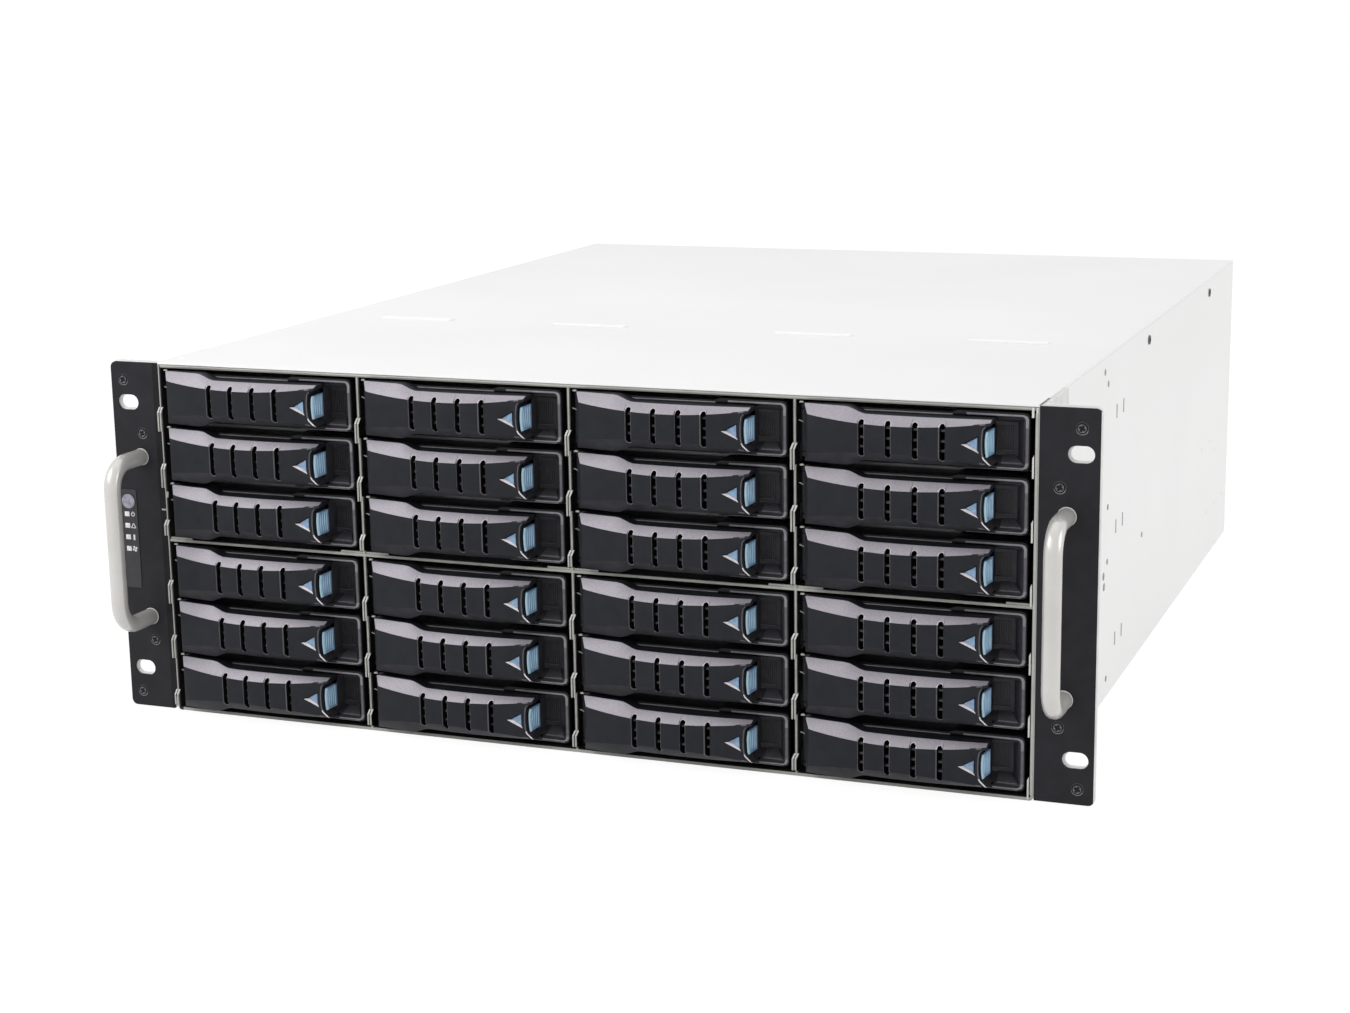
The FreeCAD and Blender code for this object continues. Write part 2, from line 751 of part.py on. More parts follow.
def main():
    os.makedirs("parts", exist_ok=True)

    save("chassis_pan", [make_pan()])
    save("module_cage", make_module_walls())
    save("top_covers", [make_front_cover(), make_rear_cover()])
    shelves = [make_middle_shelf(left) for left in column_left]
    save("drive_cage", [make_divider(left) for left in column_left[1:]] + shelves)
    save("backplane", make_backplane())
    ear = make_ear()
    save("rack_ears", [mirrored_x(ear), ear])
    handle = make_handle()
    save("ear_handles", [mirrored_x(handle), handle])
    save("status_panel", make_status_panel())

    for node, bay in module_bays().items():
        if node.startswith("power"):
            save(node, make_power_module(bay))
        else:
            save(node, make_expander_module(bay))

    arrow_outline, arrow_y = make_arrow()
    lens = prism_y(arrow_outline, arrow_y - arrow_recess / 2, arrow_y)
    lever = [make_lever(arrow_outline, arrow_y), make_button(), lens]
    carrier = [make_bezel(), make_tray(), make_drive()]
    for column, left in enumerate(column_left):
        for row, row_z in enumerate(row_middle):
            spot = "_row%d_column%d" % (row + 1, column + 1)
            save("carrier" + spot, place(carrier, left, row_z))
            save("latch_lever" + spot, place(lever, left, row_z))


main()
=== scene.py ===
import bpy, bmesh, json, math
from mathutils import Matrix, Vector


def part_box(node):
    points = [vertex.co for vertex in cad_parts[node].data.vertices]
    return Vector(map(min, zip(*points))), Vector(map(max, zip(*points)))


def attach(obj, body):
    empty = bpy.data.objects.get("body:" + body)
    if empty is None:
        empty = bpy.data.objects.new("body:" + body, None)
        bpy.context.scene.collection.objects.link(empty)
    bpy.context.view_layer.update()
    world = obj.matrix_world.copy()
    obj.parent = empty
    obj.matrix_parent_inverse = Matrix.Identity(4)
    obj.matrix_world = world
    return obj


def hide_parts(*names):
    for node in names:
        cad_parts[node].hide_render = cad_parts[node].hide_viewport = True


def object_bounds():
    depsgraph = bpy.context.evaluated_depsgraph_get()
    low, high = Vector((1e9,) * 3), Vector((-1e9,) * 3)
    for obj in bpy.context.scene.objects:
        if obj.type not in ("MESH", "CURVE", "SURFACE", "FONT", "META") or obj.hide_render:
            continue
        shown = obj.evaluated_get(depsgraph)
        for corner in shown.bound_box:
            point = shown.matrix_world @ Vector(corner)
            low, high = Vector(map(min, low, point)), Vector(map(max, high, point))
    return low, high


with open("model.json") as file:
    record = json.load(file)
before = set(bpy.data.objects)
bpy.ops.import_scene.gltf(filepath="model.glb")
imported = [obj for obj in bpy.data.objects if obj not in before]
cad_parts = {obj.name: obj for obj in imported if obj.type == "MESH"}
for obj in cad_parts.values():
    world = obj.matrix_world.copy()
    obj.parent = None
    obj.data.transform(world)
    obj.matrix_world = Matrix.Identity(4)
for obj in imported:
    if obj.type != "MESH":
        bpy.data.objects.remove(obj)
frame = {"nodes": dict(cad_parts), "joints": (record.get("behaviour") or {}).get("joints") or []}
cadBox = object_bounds()
nodes = frame["nodes"]
mm = 0.001
print("frame loaded,", len(nodes), "nodes")


def corners(node):
    low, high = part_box(node)
    return low / mm, high / mm


# places come from the frame: hinges give the bays, boxes give the sheets
hinges = {j["child"]: Vector(j["pos_m"]) / mm for j in frame["joints"] if j["type"] == "hinge"}
panLow, panHigh = corners("chassis_pan")
earLow, earHigh = corners("rack_ears")
panelLow, panelHigh = corners("status_panel")
frontY, rearY, wallX = panLow.y, panHigh.y, panHigh.x
coverSheet = 1.2
topZ = panHigh.z + coverSheet
midZ = topZ / 2
rowZ = sorted({round(hinge.z, 2) for hinge in hinges.values()}, reverse=True)
sides = {"left": -1, "right": 1}
bay = {"columns": 4, "rows": 6, "hingeX": 4.8, "hingeY": 3.0, "pitchX": 107.0}


def addNode(tree, kind, **values):
    node = tree.nodes.new(kind)
    for key, value in values.items():
        if key in node.inputs:
            node.inputs[key].default_value = value
        else:
            setattr(node, key, value)
    return node


def inZone(tree, place, limits):
    # 1 where every limit holds, such as ("Y", ">", -1.0) in millimetres
    link = tree.links.new
    split = addNode(tree, "ShaderNodeSeparateXYZ")
    link(place.outputs["Object"], split.inputs["Vector"])
    held = None
    for axis, side, edge in limits:
        test = addNode(tree, "ShaderNodeMath", operation="GREATER_THAN" if side == ">" else "LESS_THAN")
        test.inputs[1].default_value = edge * mm
        link(split.outputs[axis], test.inputs[0])
        if held:
            both = addNode(tree, "ShaderNodeMath", operation="MULTIPLY")
            link(held, both.inputs[0])
            link(test.outputs[0], both.inputs[1])
            test = both
        held = test.outputs[0]
    return held


def tintRamp(tree, cloud, dark, light):
    tint = addNode(tree, "ShaderNodeValToRGB")
    for stop, place, colour in zip(tint.color_ramp.elements, (0.3, 0.7), (dark, light)):
        stop.position = place
        stop.color = (*colour, 1)
    tree.links.new(cloud.outputs["Fac"], tint.inputs["Fac"])
    return tint.outputs["Color"]


# what a finish has unless it says otherwise
usual = {"rough": 0.4, "roughSpread": 0.05, "metal": 0.0, "shine": 0.5, "coat": 0.0, "cloud": 500,
         "grain": 2600, "bump": 0.1, "stretch": (1, 1, 1), "zones": []}


def finish(name, dark, light, **look):
    # colour clouds, a fine grain in the bump and a slow change of gloss, all in object space
    look = {**usual, **look}
    mat = bpy.data.materials.new(name)
    mat.use_nodes = True
    tree = mat.node_tree
    link = tree.links.new
    shader = tree.nodes["Principled BSDF"]
    shader.inputs["Metallic"].default_value = look["metal"]
    shader.inputs["Specular IOR Level"].default_value = look["shine"]
    shader.inputs["Coat Weight"].default_value = look["coat"]
    place = addNode(tree, "ShaderNodeTexCoord")
    stretch = addNode(tree, "ShaderNodeMapping")
    stretch.inputs["Scale"].default_value = look["stretch"]
    link(place.outputs["Object"], stretch.inputs["Vector"])

    cloud = addNode(tree, "ShaderNodeTexNoise", Scale=look["cloud"], Detail=4)
    link(stretch.outputs["Vector"], cloud.inputs["Vector"])
    colour = tintRamp(tree, cloud, dark, light)
    for zone in look["zones"]:
        blend = addNode(tree, "ShaderNodeMix", data_type="RGBA")
        link(inZone(tree, place, zone["where"]), blend.inputs[0])
        link(colour, blend.inputs[6])  # the two colours of a colour mix
        link(tintRamp(tree, cloud, zone["dark"], zone["light"]), blend.inputs[7])
        colour = blend.outputs[2]
    link(colour, shader.inputs["Base Color"])

    gloss = addNode(tree, "ShaderNodeMapRange")
    gloss.inputs["To Min"].default_value = look["rough"] - look["roughSpread"]
    gloss.inputs["To Max"].default_value = look["rough"] + look["roughSpread"]
    link(cloud.outputs["Fac"], gloss.inputs["Value"])
    link(gloss.outputs["Result"], shader.inputs["Roughness"])

    grain = addNode(tree, "ShaderNodeTexNoise", Scale=look["grain"], Detail=3)
    link(stretch.outputs["Vector"], grain.inputs["Vector"])
    bump = addNode(tree, "ShaderNodeBump", Strength=look["bump"], Distance=0.0002)
    link(grain.outputs["Fac"], bump.inputs["Height"])
    link(bump.outputs["Normal"], shader.inputs["Normal"])
    return mat


powder = {"rough": 0.5, "shine": 0.35, "cloud": 6, "grain": 1400, "bump": 0.08}
whitePaint = finish("white_powder_coat", (0.82, 0.82, 0.815), (0.86, 0.86, 0.855), **powder)
# zones: a painted highlight on the joggled tongues, painted shade on the bent front edge, and painted shade
# on the covers' undersides
coverPaintAndPaintedLight = finish("white_cover_coat_and_painted_light", (0.81, 0.81, 0.81), (0.85, 0.85, 0.85), **powder, zones=[
    {"where": [("Z", ">", topZ + 0.2)], "dark": (0.91, 0.91, 0.91), "light": (0.95, 0.95, 0.95)},
    {"where": [("Y", "<", frontY + 0.25), ("Z", "<", topZ - 0.75)],
     "dark": (0.22, 0.215, 0.205), "light": (0.28, 0.275, 0.26)},
    {"where": [("Z", "<", topZ - 1.15), ("Y", ">", frontY + 0.25), ("Y", "<", rearY - 1)],
     "dark": (0.22, 0.22, 0.21), "light": (0.30, 0.30, 0.285)}])
# zones: painted shade all over the inside, the bare front edges, painted shade on the left wall's front edge,
# and a painted highlight line on it
panPaintAndPaintedLight = finish("white_pan_coat_and_painted_light", (0.82, 0.82, 0.815), (0.86, 0.86, 0.855), **powder, zones=[
    {"where": [("X", ">", -wallX + 1.3), ("X", "<", wallX - 1.3), ("Z", ">", 1.3), ("Y", "<", rearY - 1.5)],
     "dark": (0.018, 0.018, 0.018), "light": (0.030, 0.030, 0.030)},
    {"where": [("Y", "<", frontY + 0.3)], "dark": (0.33, 0.33, 0.31), "light": (0.44, 0.44, 0.41)},
    {"where": [("Y", "<", frontY + 0.3), ("X", "<", -wallX + 3)],
     "dark": (0.008, 0.008, 0.008), "light": (0.014, 0.014, 0.014)},
    {"where": [("Y", "<", frontY + 0.3), ("X", "<", -wallX + 0.75), ("X", ">", -wallX + 0.15)],
     "dark": (0.36, 0.35, 0.34), "light": (0.46, 0.45, 0.44)}])
# zones: painted shade on all behind the bare front edges, and painted shade in the gap left of each divider
cageSheetAndPaintedShade = finish("drive_cage_sheet_and_painted_shade", (0.30, 0.30, 0.275), (0.41, 0.41, 0.375), cloud=160,
    grain=900, bump=0.12, roughSpread=0.1, zones=[
    {"where": [("Y", ">", frontY + 1.2)], "dark": (0.012, 0.012, 0.012), "light": (0.022, 0.022, 0.022)}]
    + [{"where": [("X", ">", x - 3), ("X", "<", x - 0.3), ("Z", ">", low), ("Z", "<", high)],
        "dark": (0.008, 0.008, 0.008), "light": (0.014, 0.014, 0.014)}
       for x in (-bay["pitchX"], 0, bay["pitchX"]) for low, high in ((0, midZ - 1.2), (midZ + 1.2, topZ))])
zincSheet = finish("zinc_plated_sheet", (0.40, 0.40, 0.375), (0.47, 0.47, 0.44), metal=0.35,
    cloud=260, grain=900, bump=0.12, roughSpread=0.06)
# a lighter copy of the zinc for knees, tabs and collars where they catch the light: a painted highlight
zincPaintedHighlight = finish("zinc_painted_highlight", (0.62, 0.61, 0.585), (0.78, 0.77, 0.74), rough=0.32,
    cloud=160, grain=1200, bump=0.08)
# zones: the shaded root at the left wall, the pale back, and the pale outer edge
earPaint = finish("black_ear_paint", (0.0115, 0.0115, 0.0145), (0.018, 0.018, 0.0225),
    rough=0.58, shine=0.22, cloud=120, bump=0.25, zones=[
    {"where": [("X", ">", -wallX - 3.3), ("X", "<", -wallX + 1)],
     "dark": (0.003, 0.003, 0.0035), "light": (0.007, 0.007, 0.008)},
    {"where": [("Y", ">", -0.9)], "dark": (0.62, 0.62, 0.61), "light": (0.74, 0.74, 0.73)},
    {"where": [("X", ">", earHigh.x - 0.55)], "dark": (0.66, 0.66, 0.65), "light": (0.78, 0.78, 0.77)}])
rodSatin = finish("satin_rod", (0.59, 0.575, 0.55), (0.65, 0.635, 0.61), rough=0.24, metal=0.35,
    cloud=60, grain=1800, bump=0.08)
leverFace = finish("lever_moulding", (0.0085, 0.0095, 0.0135), (0.0135, 0.0145, 0.0195),
    rough=0.5, shine=0.22, cloud=160, grain=3200, bump=0.2)
# the lever is one dark moulding; its upper facet carries a painted sheen and its lower facet a dimmer painted
# light
leverPaintedSheen = finish("lever_upper_facet_painted_sheen", (0.29, 0.268, 0.305), (0.37, 0.342, 0.385), rough=0.45,
    metal=0.15, cloud=1400, grain=3200, bump=0.25)
leverPaintedHalfLight = finish("lever_lower_facet_painted_half_light", (0.022, 0.0215, 0.0255), (0.036, 0.0345, 0.040),
    rough=0.5, shine=0.15, cloud=220, grain=3200, bump=0.25)
# lighter copies of the moulding for its chamfered rims: a painted edge light, and a painted highlight where
# they face the light
paintedEdgeLight = finish("painted_edge_light", (0.075, 0.070, 0.080), (0.12, 0.112, 0.125), cloud=400,
    grain=3200)
leverPaintedHighlight = finish("lever_edge_painted_highlight", (0.66, 0.62, 0.645), (0.84, 0.79, 0.82), rough=0.35,
    cloud=400, grain=3200)
bezelPlastic = finish("bezel_moulding", (0.0050, 0.0048, 0.0056), (0.0095, 0.0090, 0.0105),
    rough=0.42, shine=0.22, cloud=140, bump=0.15)
# lighter copies of the bezel moulding: a painted highlight on its rims, a painted soft light on the ribs, and
# painted light inside the finger recess
paintedRimHighlight = finish("rim_painted_highlight", (0.17, 0.166, 0.18), (0.25, 0.243, 0.26), cloud=300)
bezelPaintedSoftLight = finish("bezel_painted_soft_light", (0.040, 0.039, 0.042), (0.065, 0.063, 0.068), rough=0.42,
    shine=0.3, cloud=300)
bezelRecessPaintedLight = finish("bezel_recess_painted_light", (0.040, 0.040, 0.047), (0.060, 0.060, 0.070), rough=0.38,
    shine=0.45, cloud=200, bump=0.15)
buttonBlue = finish("button_blue", (0.215, 0.35, 0.53), (0.28, 0.44, 0.655), cloud=200,
    grain=2400, bump=0.12)
# a lighter blue for the button's left edge and grips: a painted highlight
buttonPaintedHighlight = finish("button_blue_painted_highlight", (0.42, 0.64, 0.78), (0.52, 0.75, 0.88), rough=0.35,
    cloud=200, grain=2400, bump=0.12)
lensBlue = finish("lens_blue", (0.15, 0.25, 0.40), (0.26, 0.40, 0.58), rough=0.2, grain=1800,
    bump=0.05, coat=0.3)
driveCasting = finish("drive_casting", (0.34, 0.35, 0.36), (0.40, 0.41, 0.42), rough=0.45,
    metal=0.5, cloud=300, grain=1200, bump=0.2)
driveLid = finish("drive_lid", (0.47, 0.48, 0.49), (0.53, 0.54, 0.55), rough=0.34, metal=0.6,
    cloud=120, grain=1600, stretch=(0.1, 6, 1))
# zones: the sockets before and behind the board
boardGreen = finish("board_mask", (0.010, 0.055, 0.030), (0.016, 0.085, 0.045), rough=0.35,
    cloud=260, grain=1500, zones=[
    {"where": [("Y", side, face)], "dark": (0.012, 0.012, 0.013), "light": (0.022, 0.022, 0.024)}
    for side, face in (("<", 165.8), (">", 168.8))])
socketBlack = finish("socket_black", (0.010, 0.010, 0.011), (0.019, 0.019, 0.021), rough=0.45,
    shine=0.35, cloud=200, grain=2200, bump=0.15)
filmGrey = finish("panel_film", (0.032, 0.031, 0.036), (0.041, 0.040, 0.046), shine=0.3,
    cloud=240, grain=2400, bump=0.05)
printWhite = finish("white_print", (0.62, 0.61, 0.64), (0.78, 0.77, 0.80), rough=0.45, cloud=700,
    grain=3000, bump=0.05)
discGrey = finish("blank_disc", (0.17, 0.17, 0.21), (0.36, 0.36, 0.43), rough=0.35, cloud=600,
    grain=1500)
lampClear = finish("lamp_window", (0.62, 0.57, 0.56), (0.88, 0.84, 0.82), rough=0.25, grain=1500,
    bump=0.05, coat=0.3)
screwBlack = finish("blackened_screw", (0.095, 0.095, 0.102), (0.140, 0.140, 0.150), grain=2500,
    bump=0.15)
screwZinc = finish("zinc_screw", (0.40, 0.40, 0.38), (0.58, 0.58, 0.55), rough=0.32, metal=0.6,
    grain=2500, bump=0.15)
markGrey = finish("shaded_slit", (0.20, 0.20, 0.20), (0.34, 0.34, 0.34), rough=0.5, cloud=300,
    grain=2500)
# zones: the dark fan cavities of the two power modules, and the handles that stand out from the faces
moduleSheet = finish("module_sheet", (0.43, 0.43, 0.415), (0.49, 0.49, 0.475), rough=0.38,
    metal=0.5, cloud=180, grain=1100, bump=0.12, stretch=(0.15, 1, 6), zones=[
    {"where": [("Y", ">", rearY - 35), ("Y", "<", rearY - 0.1), ("Z", ">", midZ), ("Z", "<", topZ - 6),
               ("X", ">", middle - 41.5), ("X", "<", middle + 41.5)],
     "dark": (0.010, 0.010, 0.011), "light": (0.020, 0.020, 0.021)}
    for middle in (50.5 - wallX, wallX - 50.5)]
    + [{"where": [("Y", ">", rearY + 1.8)], "dark": (0.030, 0.030, 0.032), "light": (0.050, 0.050, 0.053)}])
lampGreen = finish("green_lamp", (0.03, 0.22, 0.06), (0.07, 0.38, 0.11), rough=0.2, grain=1500,
    bump=0.05, coat=0.3)
print("finishes ready")


def boxIn(bm, low, high):
    size = [h - l for l, h in zip(low, high)]
    middle = [(h + l) / 2 for l, h in zip(low, high)]
    bmesh.ops.create_cube(bm, size=1, matrix=Matrix.Translation(middle) @ Matrix.Diagonal((*size, 1)))


def outlineSolid(bm, points, axis, depth, taper=None):
    # a closed outline, drawn out along one axis; taper moves each far corner
    face = bm.faces.new([bm.verts.new(p) for p in points])
    grown = bmesh.ops.extrude_face_region(bm, geom=[face])
    moved = [g for g in grown["geom"] if isinstance(g, bmesh.types.BMVert)]
    step = Vector((0, 0, 0))
    step[axis] = depth
    bmesh.ops.translate(bm, verts=moved, vec=step)
    if taper:
        for v in moved:
            v.co = taper(v.co)


def faceOutline(bm, points, y, depth, taper=None):
    # the same, for an outline of (x, z) points that lies in the plane at y
    outlineSolid(bm, [(x, y, z) for x, z in points], 1, depth, taper)


def discIn(bm, middle, radius, depth, axis="Y", sides=24, tip=None):
    turn = {"X": Matrix.Rotation(math.pi / 2, 4, "Y"), "Y": Matrix.Rotation(math.pi / 2, 4, "X"),
            "Z": Matrix.Identity(4)}[axis]
    made = bmesh.ops.create_cone(bm, cap_ends=True, segments=sides, radius1=radius,
                                 radius2=radius if tip is None else tip, depth=depth,
                                 matrix=Matrix.Translation(middle) @ turn)
    return made["verts"]


def sliceAt(bm, place, across):
    bmesh.ops.bisect_plane(bm, geom=bm.verts[:] + bm.edges[:] + bm.faces[:], plane_co=place, plane_no=across)


def roundEdges(bm, axis, radius, segments, beyond=-math.inf):
    # rounds a box's edges that run along one axis, those past a given X
    runs = [e for e in bm.edges
            if abs((e.verts[0].co - e.verts[1].co)[axis]) > 0.1 and e.verts[0].co.x > beyond]
    bmesh.ops.bevel(bm, geom=runs, offset=radius, offset_type="OFFSET", segments=segments, affect="EDGES",
                    profile=0.5, material=-1)


def meshFrom(bm, *finishes):
    bmesh.ops.recalc_face_normals(bm, faces=bm.faces)
    mesh = bpy.data.meshes.new("work")
    bm.to_mesh(mesh)
    bm.free()
    for mat in finishes:
        mesh.materials.append(mat)
    return mesh


def placed(name, data):
    thing = bpy.data.objects.new(name, data)
    bpy.context.scene.collection.objects.link(thing)
    return thing


def settled(mesh, edge=0.0, angle=30, segments=2, cutters=(), rim=0.0, rimIndex=0, rimAngle=62):
    # cuts, chamfers the sharp rims, softens the rest, and bakes it into a plain mesh in millimetres
    work = placed("work", mesh)
    spare = []
    for cutter in cutters:
        tool = placed("cut", cutter)
        carve = work.modifiers.new("carve", "BOOLEAN")
        carve.object = tool
        carve.operation = "DIFFERENCE"
        carve.solver = "EXACT"
        spare.append(tool)
    for width, limit, steps, index in ((rim, rimAngle, 1, rimIndex), (edge, angle, segments, -1)):
        if width:
            soften = work.modifiers.new("soften", "BEVEL")
            soften.width = width
            soften.segments = steps
            soften.limit_method = "ANGLE"
            soften.angle_limit = math.radians(limit)
            soften.use_clamp_overlap = index < 0
            soften.material = index
    bpy.context.view_layer.update()
    baked = bpy.data.meshes.new_from_object(work.evaluated_get(bpy.context.evaluated_depsgraph_get()))
    for tool in spare + [work]:
        bpy.data.objects.remove(tool)
    return baked


def softened(bm, edge, segments, *finishes):
    return settled(meshFrom(bm, *finishes), edge=edge, segments=segments)


def softBoxes(mat, edge, segments, *places):
    bm = bmesh.new()
    for low, high in places:
        boxIn(bm, low, high)
    return softened(bm, edge, segments, mat)


def joined(*meshes):
    # one mesh that keeps the finish of each face
    bm = bmesh.new()
    mats = []
    for mesh in meshes:
        shift = []
        for mat in mesh.materials:
            if mat not in mats:
                mats.append(mat)
            shift.append(mats.index(mat))
        start = len(bm.faces)
        bm.from_mesh(mesh)
        bm.faces.ensure_lookup_table()
        for f in bm.faces[start:]:
            f.material_index = shift[f.material_index] if f.material_index < len(shift) else 0
    mesh = bpy.data.meshes.new("joined")
    bm.to_mesh(mesh)
    bm.free()
    for mat in mats:
        mesh.materials.append(mat)
    return mesh


def addPiece(name, mesh, body, offset=(0, 0, 0), smooth=35):
    # the mesh is in millimetres; its place goes into the mesh, in metres
    own = mesh.copy()
    own.name = name
    own.transform(Matrix.Scale(mm, 4) @ Matrix.Translation(offset))
    own.polygons.foreach_set("use_smooth", [True] * len(own.polygons))
    own.set_sharp_from_angle(angle=math.radians(smooth))
    piece = placed(name, own)
    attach(piece, body)
    return piece


def bayPlaces():
    for column in range(1, bay["columns"] + 1):
        for row in range(1, bay["rows"] + 1):
            spot = f"_row{row}_column{column}"
            hinge = hinges["latch_lever" + spot]
            yield spot, Vector((hinge.x - bay["hingeX"], hinge.y - bay["hingeY"], hinge.z))


lever = {"left": 7.4, "right": 89.4, "back": 0.8, "bulge": (6.6, 11.4, 9.5), "face": (8.6, 5.9, 9.0),
         "facetDepth": 3.5, "tall": 12.75, "slim": 10.0, "stepStart": 25.0, "stepEnd": 34.5, "stations": 34,
         "tipFront": 8.0, "tipBack": 5.6, "rim": 0.42, "slots": 4, "slotFirst": 33.0, "slotPitch": 11.93,
         "slotWidth": 2.4, "slotHalf": 7.9, "barDepth": 3.4, "barThick": 2.5, "barHalf": 0.5,
         "bars": (-4.1, 0.0, 4.6), "arrowTip": 76.9, "arrowBase": 84.5, "arrowHalf": 4.0, "arrowDepth": 1.3,
         "arrowLean": 0.32, "arrowSeat": 81.5, "lens": [(78.9, 0.1), (83.6, 2.75), (83.6, -2.6)],
         "lensThick": 0.55, "pocketStart": 85.6, "pocketFloor": -4.1, "pocketLean": 3,
         "pocket": [(92, 8.5), (87.2, 7.3), (86.1, 6.0), (85.75, 3.5), (85.6, 0), (85.75, -3.5),
                    (86.1, -5.3), (86.6, -6.3), (89.6, -9.2), (92, -10.6)],
         "slotStretch": (30, 72), "slotTop": 6.2, "slotDepth": 2.0, "tipEnd": 9, "tipLit": (8.4, 8),
         "edgeHeight": 9.8, "edgeDepth": -1.5, "arrowStretch": (74, 85.3), "padStart": 86.6, "padHeight": 5.6,
         "lip": (86.0, 89.1), "lipTop": -5.4, "lipFoot": -5.7, "lipSlope": 0.95, "lipWide": 0.8,
         "barrel": 2.4, "barrelHalf": 9.3,
         "web": [(-1.2, -2.0), (2.7, -4.0), (7.0, -4.0), (7.0, -2.2), (1.4, 1.9)]}
# the lever's tones: its moulding, a painted sheen, a dim painted light, a painted edge light, a painted
# highlight, and the darker moulding as painted shade in the slots
leverFinishes = {"face": leverFace, "facet": leverPaintedSheen, "under": leverPaintedHalfLight, "rim": paintedEdgeLight,
                 "lit": leverPaintedHighlight, "dark": bezelPlastic}
tone = {word: n for n, word in enumerate(leverFinishes)}


def bowed(three, x):
    # a smooth bow through three values, at the lever's left end, middle and right end
    left, middle, right = three
    t = (2 * x - lever["left"] - lever["right"]) / (lever["right"] - lever["left"])
    return middle + t * (right - left) / 2 + t * t * ((right + left) / 2 - middle)


def leverSide(x):
    run = min(max((x - lever["stepStart"]) / (lever["stepEnd"] - lever["stepStart"]), 0), 1)
    return lever["tall"] + (lever["slim"] - lever["tall"]) * run * run * (3 - 2 * run)


def leverBody():
    # a bar cut into stations, then bowed: a flat front, a facet above and below, and level sides; the facets
    # take a painted sheen above and a dim painted light below
    bm = bmesh.new()
    front, shoulder, half = -10, -5, 10
    boxIn(bm, (lever["left"], front, -half), (lever["right"], lever["back"], half))
    run = (lever["right"] - lever["left"]) / lever["stations"]
    for n in range(1, lever["stations"]):
        sliceAt(bm, (lever["left"] + n * run, 0, 0), (1, 0, 0))
    sliceAt(bm, (0, shoulder, 0), (0, 1, 0))
    for v in bm.verts:
        bulge = bowed(lever["bulge"], v.co.x)
        side = math.copysign(1, v.co.z)
        tip = v.co.x < lever["left"] + 0.01
        if v.co.y < shoulder - 1:
            v.co.y, v.co.z = -bulge, side * bowed(lever["face"], v.co.x)
            v.co.x = lever["tipFront"] if tip else v.co.x
        else:
            v.co.z = side * leverSide(v.co.x)
            if v.co.y < shoulder + 1:
                v.co.y = lever["facetDepth"] - bulge
                v.co.x = lever["tipBack"] if tip else v.co.x
    for f in bm.faces:
        f.normal_update()
        if abs(f.normal.z) > 0.3 and f.normal.y < -0.3:
            f.material_index = tone["facet" if f.normal.z > 0 else "under"]
    return meshFrom(bm, *leverFinishes.values())


def slotCut(x, half, tall, front, back):
    # one upright slot with round ends, its walls in the darker moulding as painted shade
    bm = bmesh.new()
    boxIn(bm, (x - half, front, -tall), (x + half, back, tall))
    roundEdges(bm, 1, half * 0.96, 4)
    for f in bm.faces:
        f.material_index = tone["dark"]
    return meshFrom(bm, leverFace)


def leverSlots():
    # slots right through, and the cross bars that show in each, in a painted edge light
    cutters = []
    bm = bmesh.new()
    half, thin, thick = lever["slotWidth"] / 2, lever["barHalf"], lever["barThick"]
    for n in range(lever["slots"]):
        x = lever["slotFirst"] + n * lever["slotPitch"]
        front = lever["barDepth"] - bowed(lever["bulge"], x)
        cutters.append(slotCut(x, half, lever["slotHalf"], -20, 5))
        for z in lever["bars"]:
            boxIn(bm, (x - half - 0.1, front, z - thin), (x + half + 0.1, front + thick, z + thin))
    return cutters, meshFrom(bm, paintedEdgeLight)


def arrowCut(front):
    # a triangular dish with leaning walls; the lower wall carries a painted highlight
    tip, base, half, lean = lever["arrowTip"], lever["arrowBase"], lever["arrowHalf"], lever["arrowLean"]
    middle = Vector((tip / 3 + base * 2 / 3, front, 0))
    ring = [Vector((tip, front, 0)), Vector((base, front, half)), Vector((base, front, -half))]
    out = [middle + (p - middle) * (1 + lean) + Vector((0, -lever["arrowDepth"], 0)) for p in ring]
    bm = bmesh.new()
    shrink = (1 - lean) / (1 + lean)
    outlineSolid(bm, out, 1, 2 * lever["arrowDepth"], lambda p: Vector(
        (middle.x + (p.x - middle.x) * shrink, p.y, p.z * shrink)))
    mesh = meshFrom(bm, leverFace)
    for f in mesh.polygons:
        f.material_index = tone["lit" if f.normal.z < -0.4 and abs(f.normal.y) < 0.9 else "face"]
    return mesh


def buttonPocket():
    # the seat at the lever's end: a bowed left side, walls that flare, and a leaning floor; its lower walls
    # take the dim painted light
    bm = bmesh.new()
    faceOutline(bm, lever["pocket"], -20, 1, lambda p: Vector(
        (p.x, lever["pocketFloor"] + lever["pocketLean"] * (p.x - lever["pocketStart"]), p.z)))
    mesh = meshFrom(bm, leverFace)
    for f in mesh.polygons:
        f.material_index = tone["under" if f.normal.z < -0.5 else "face"]
    return mesh


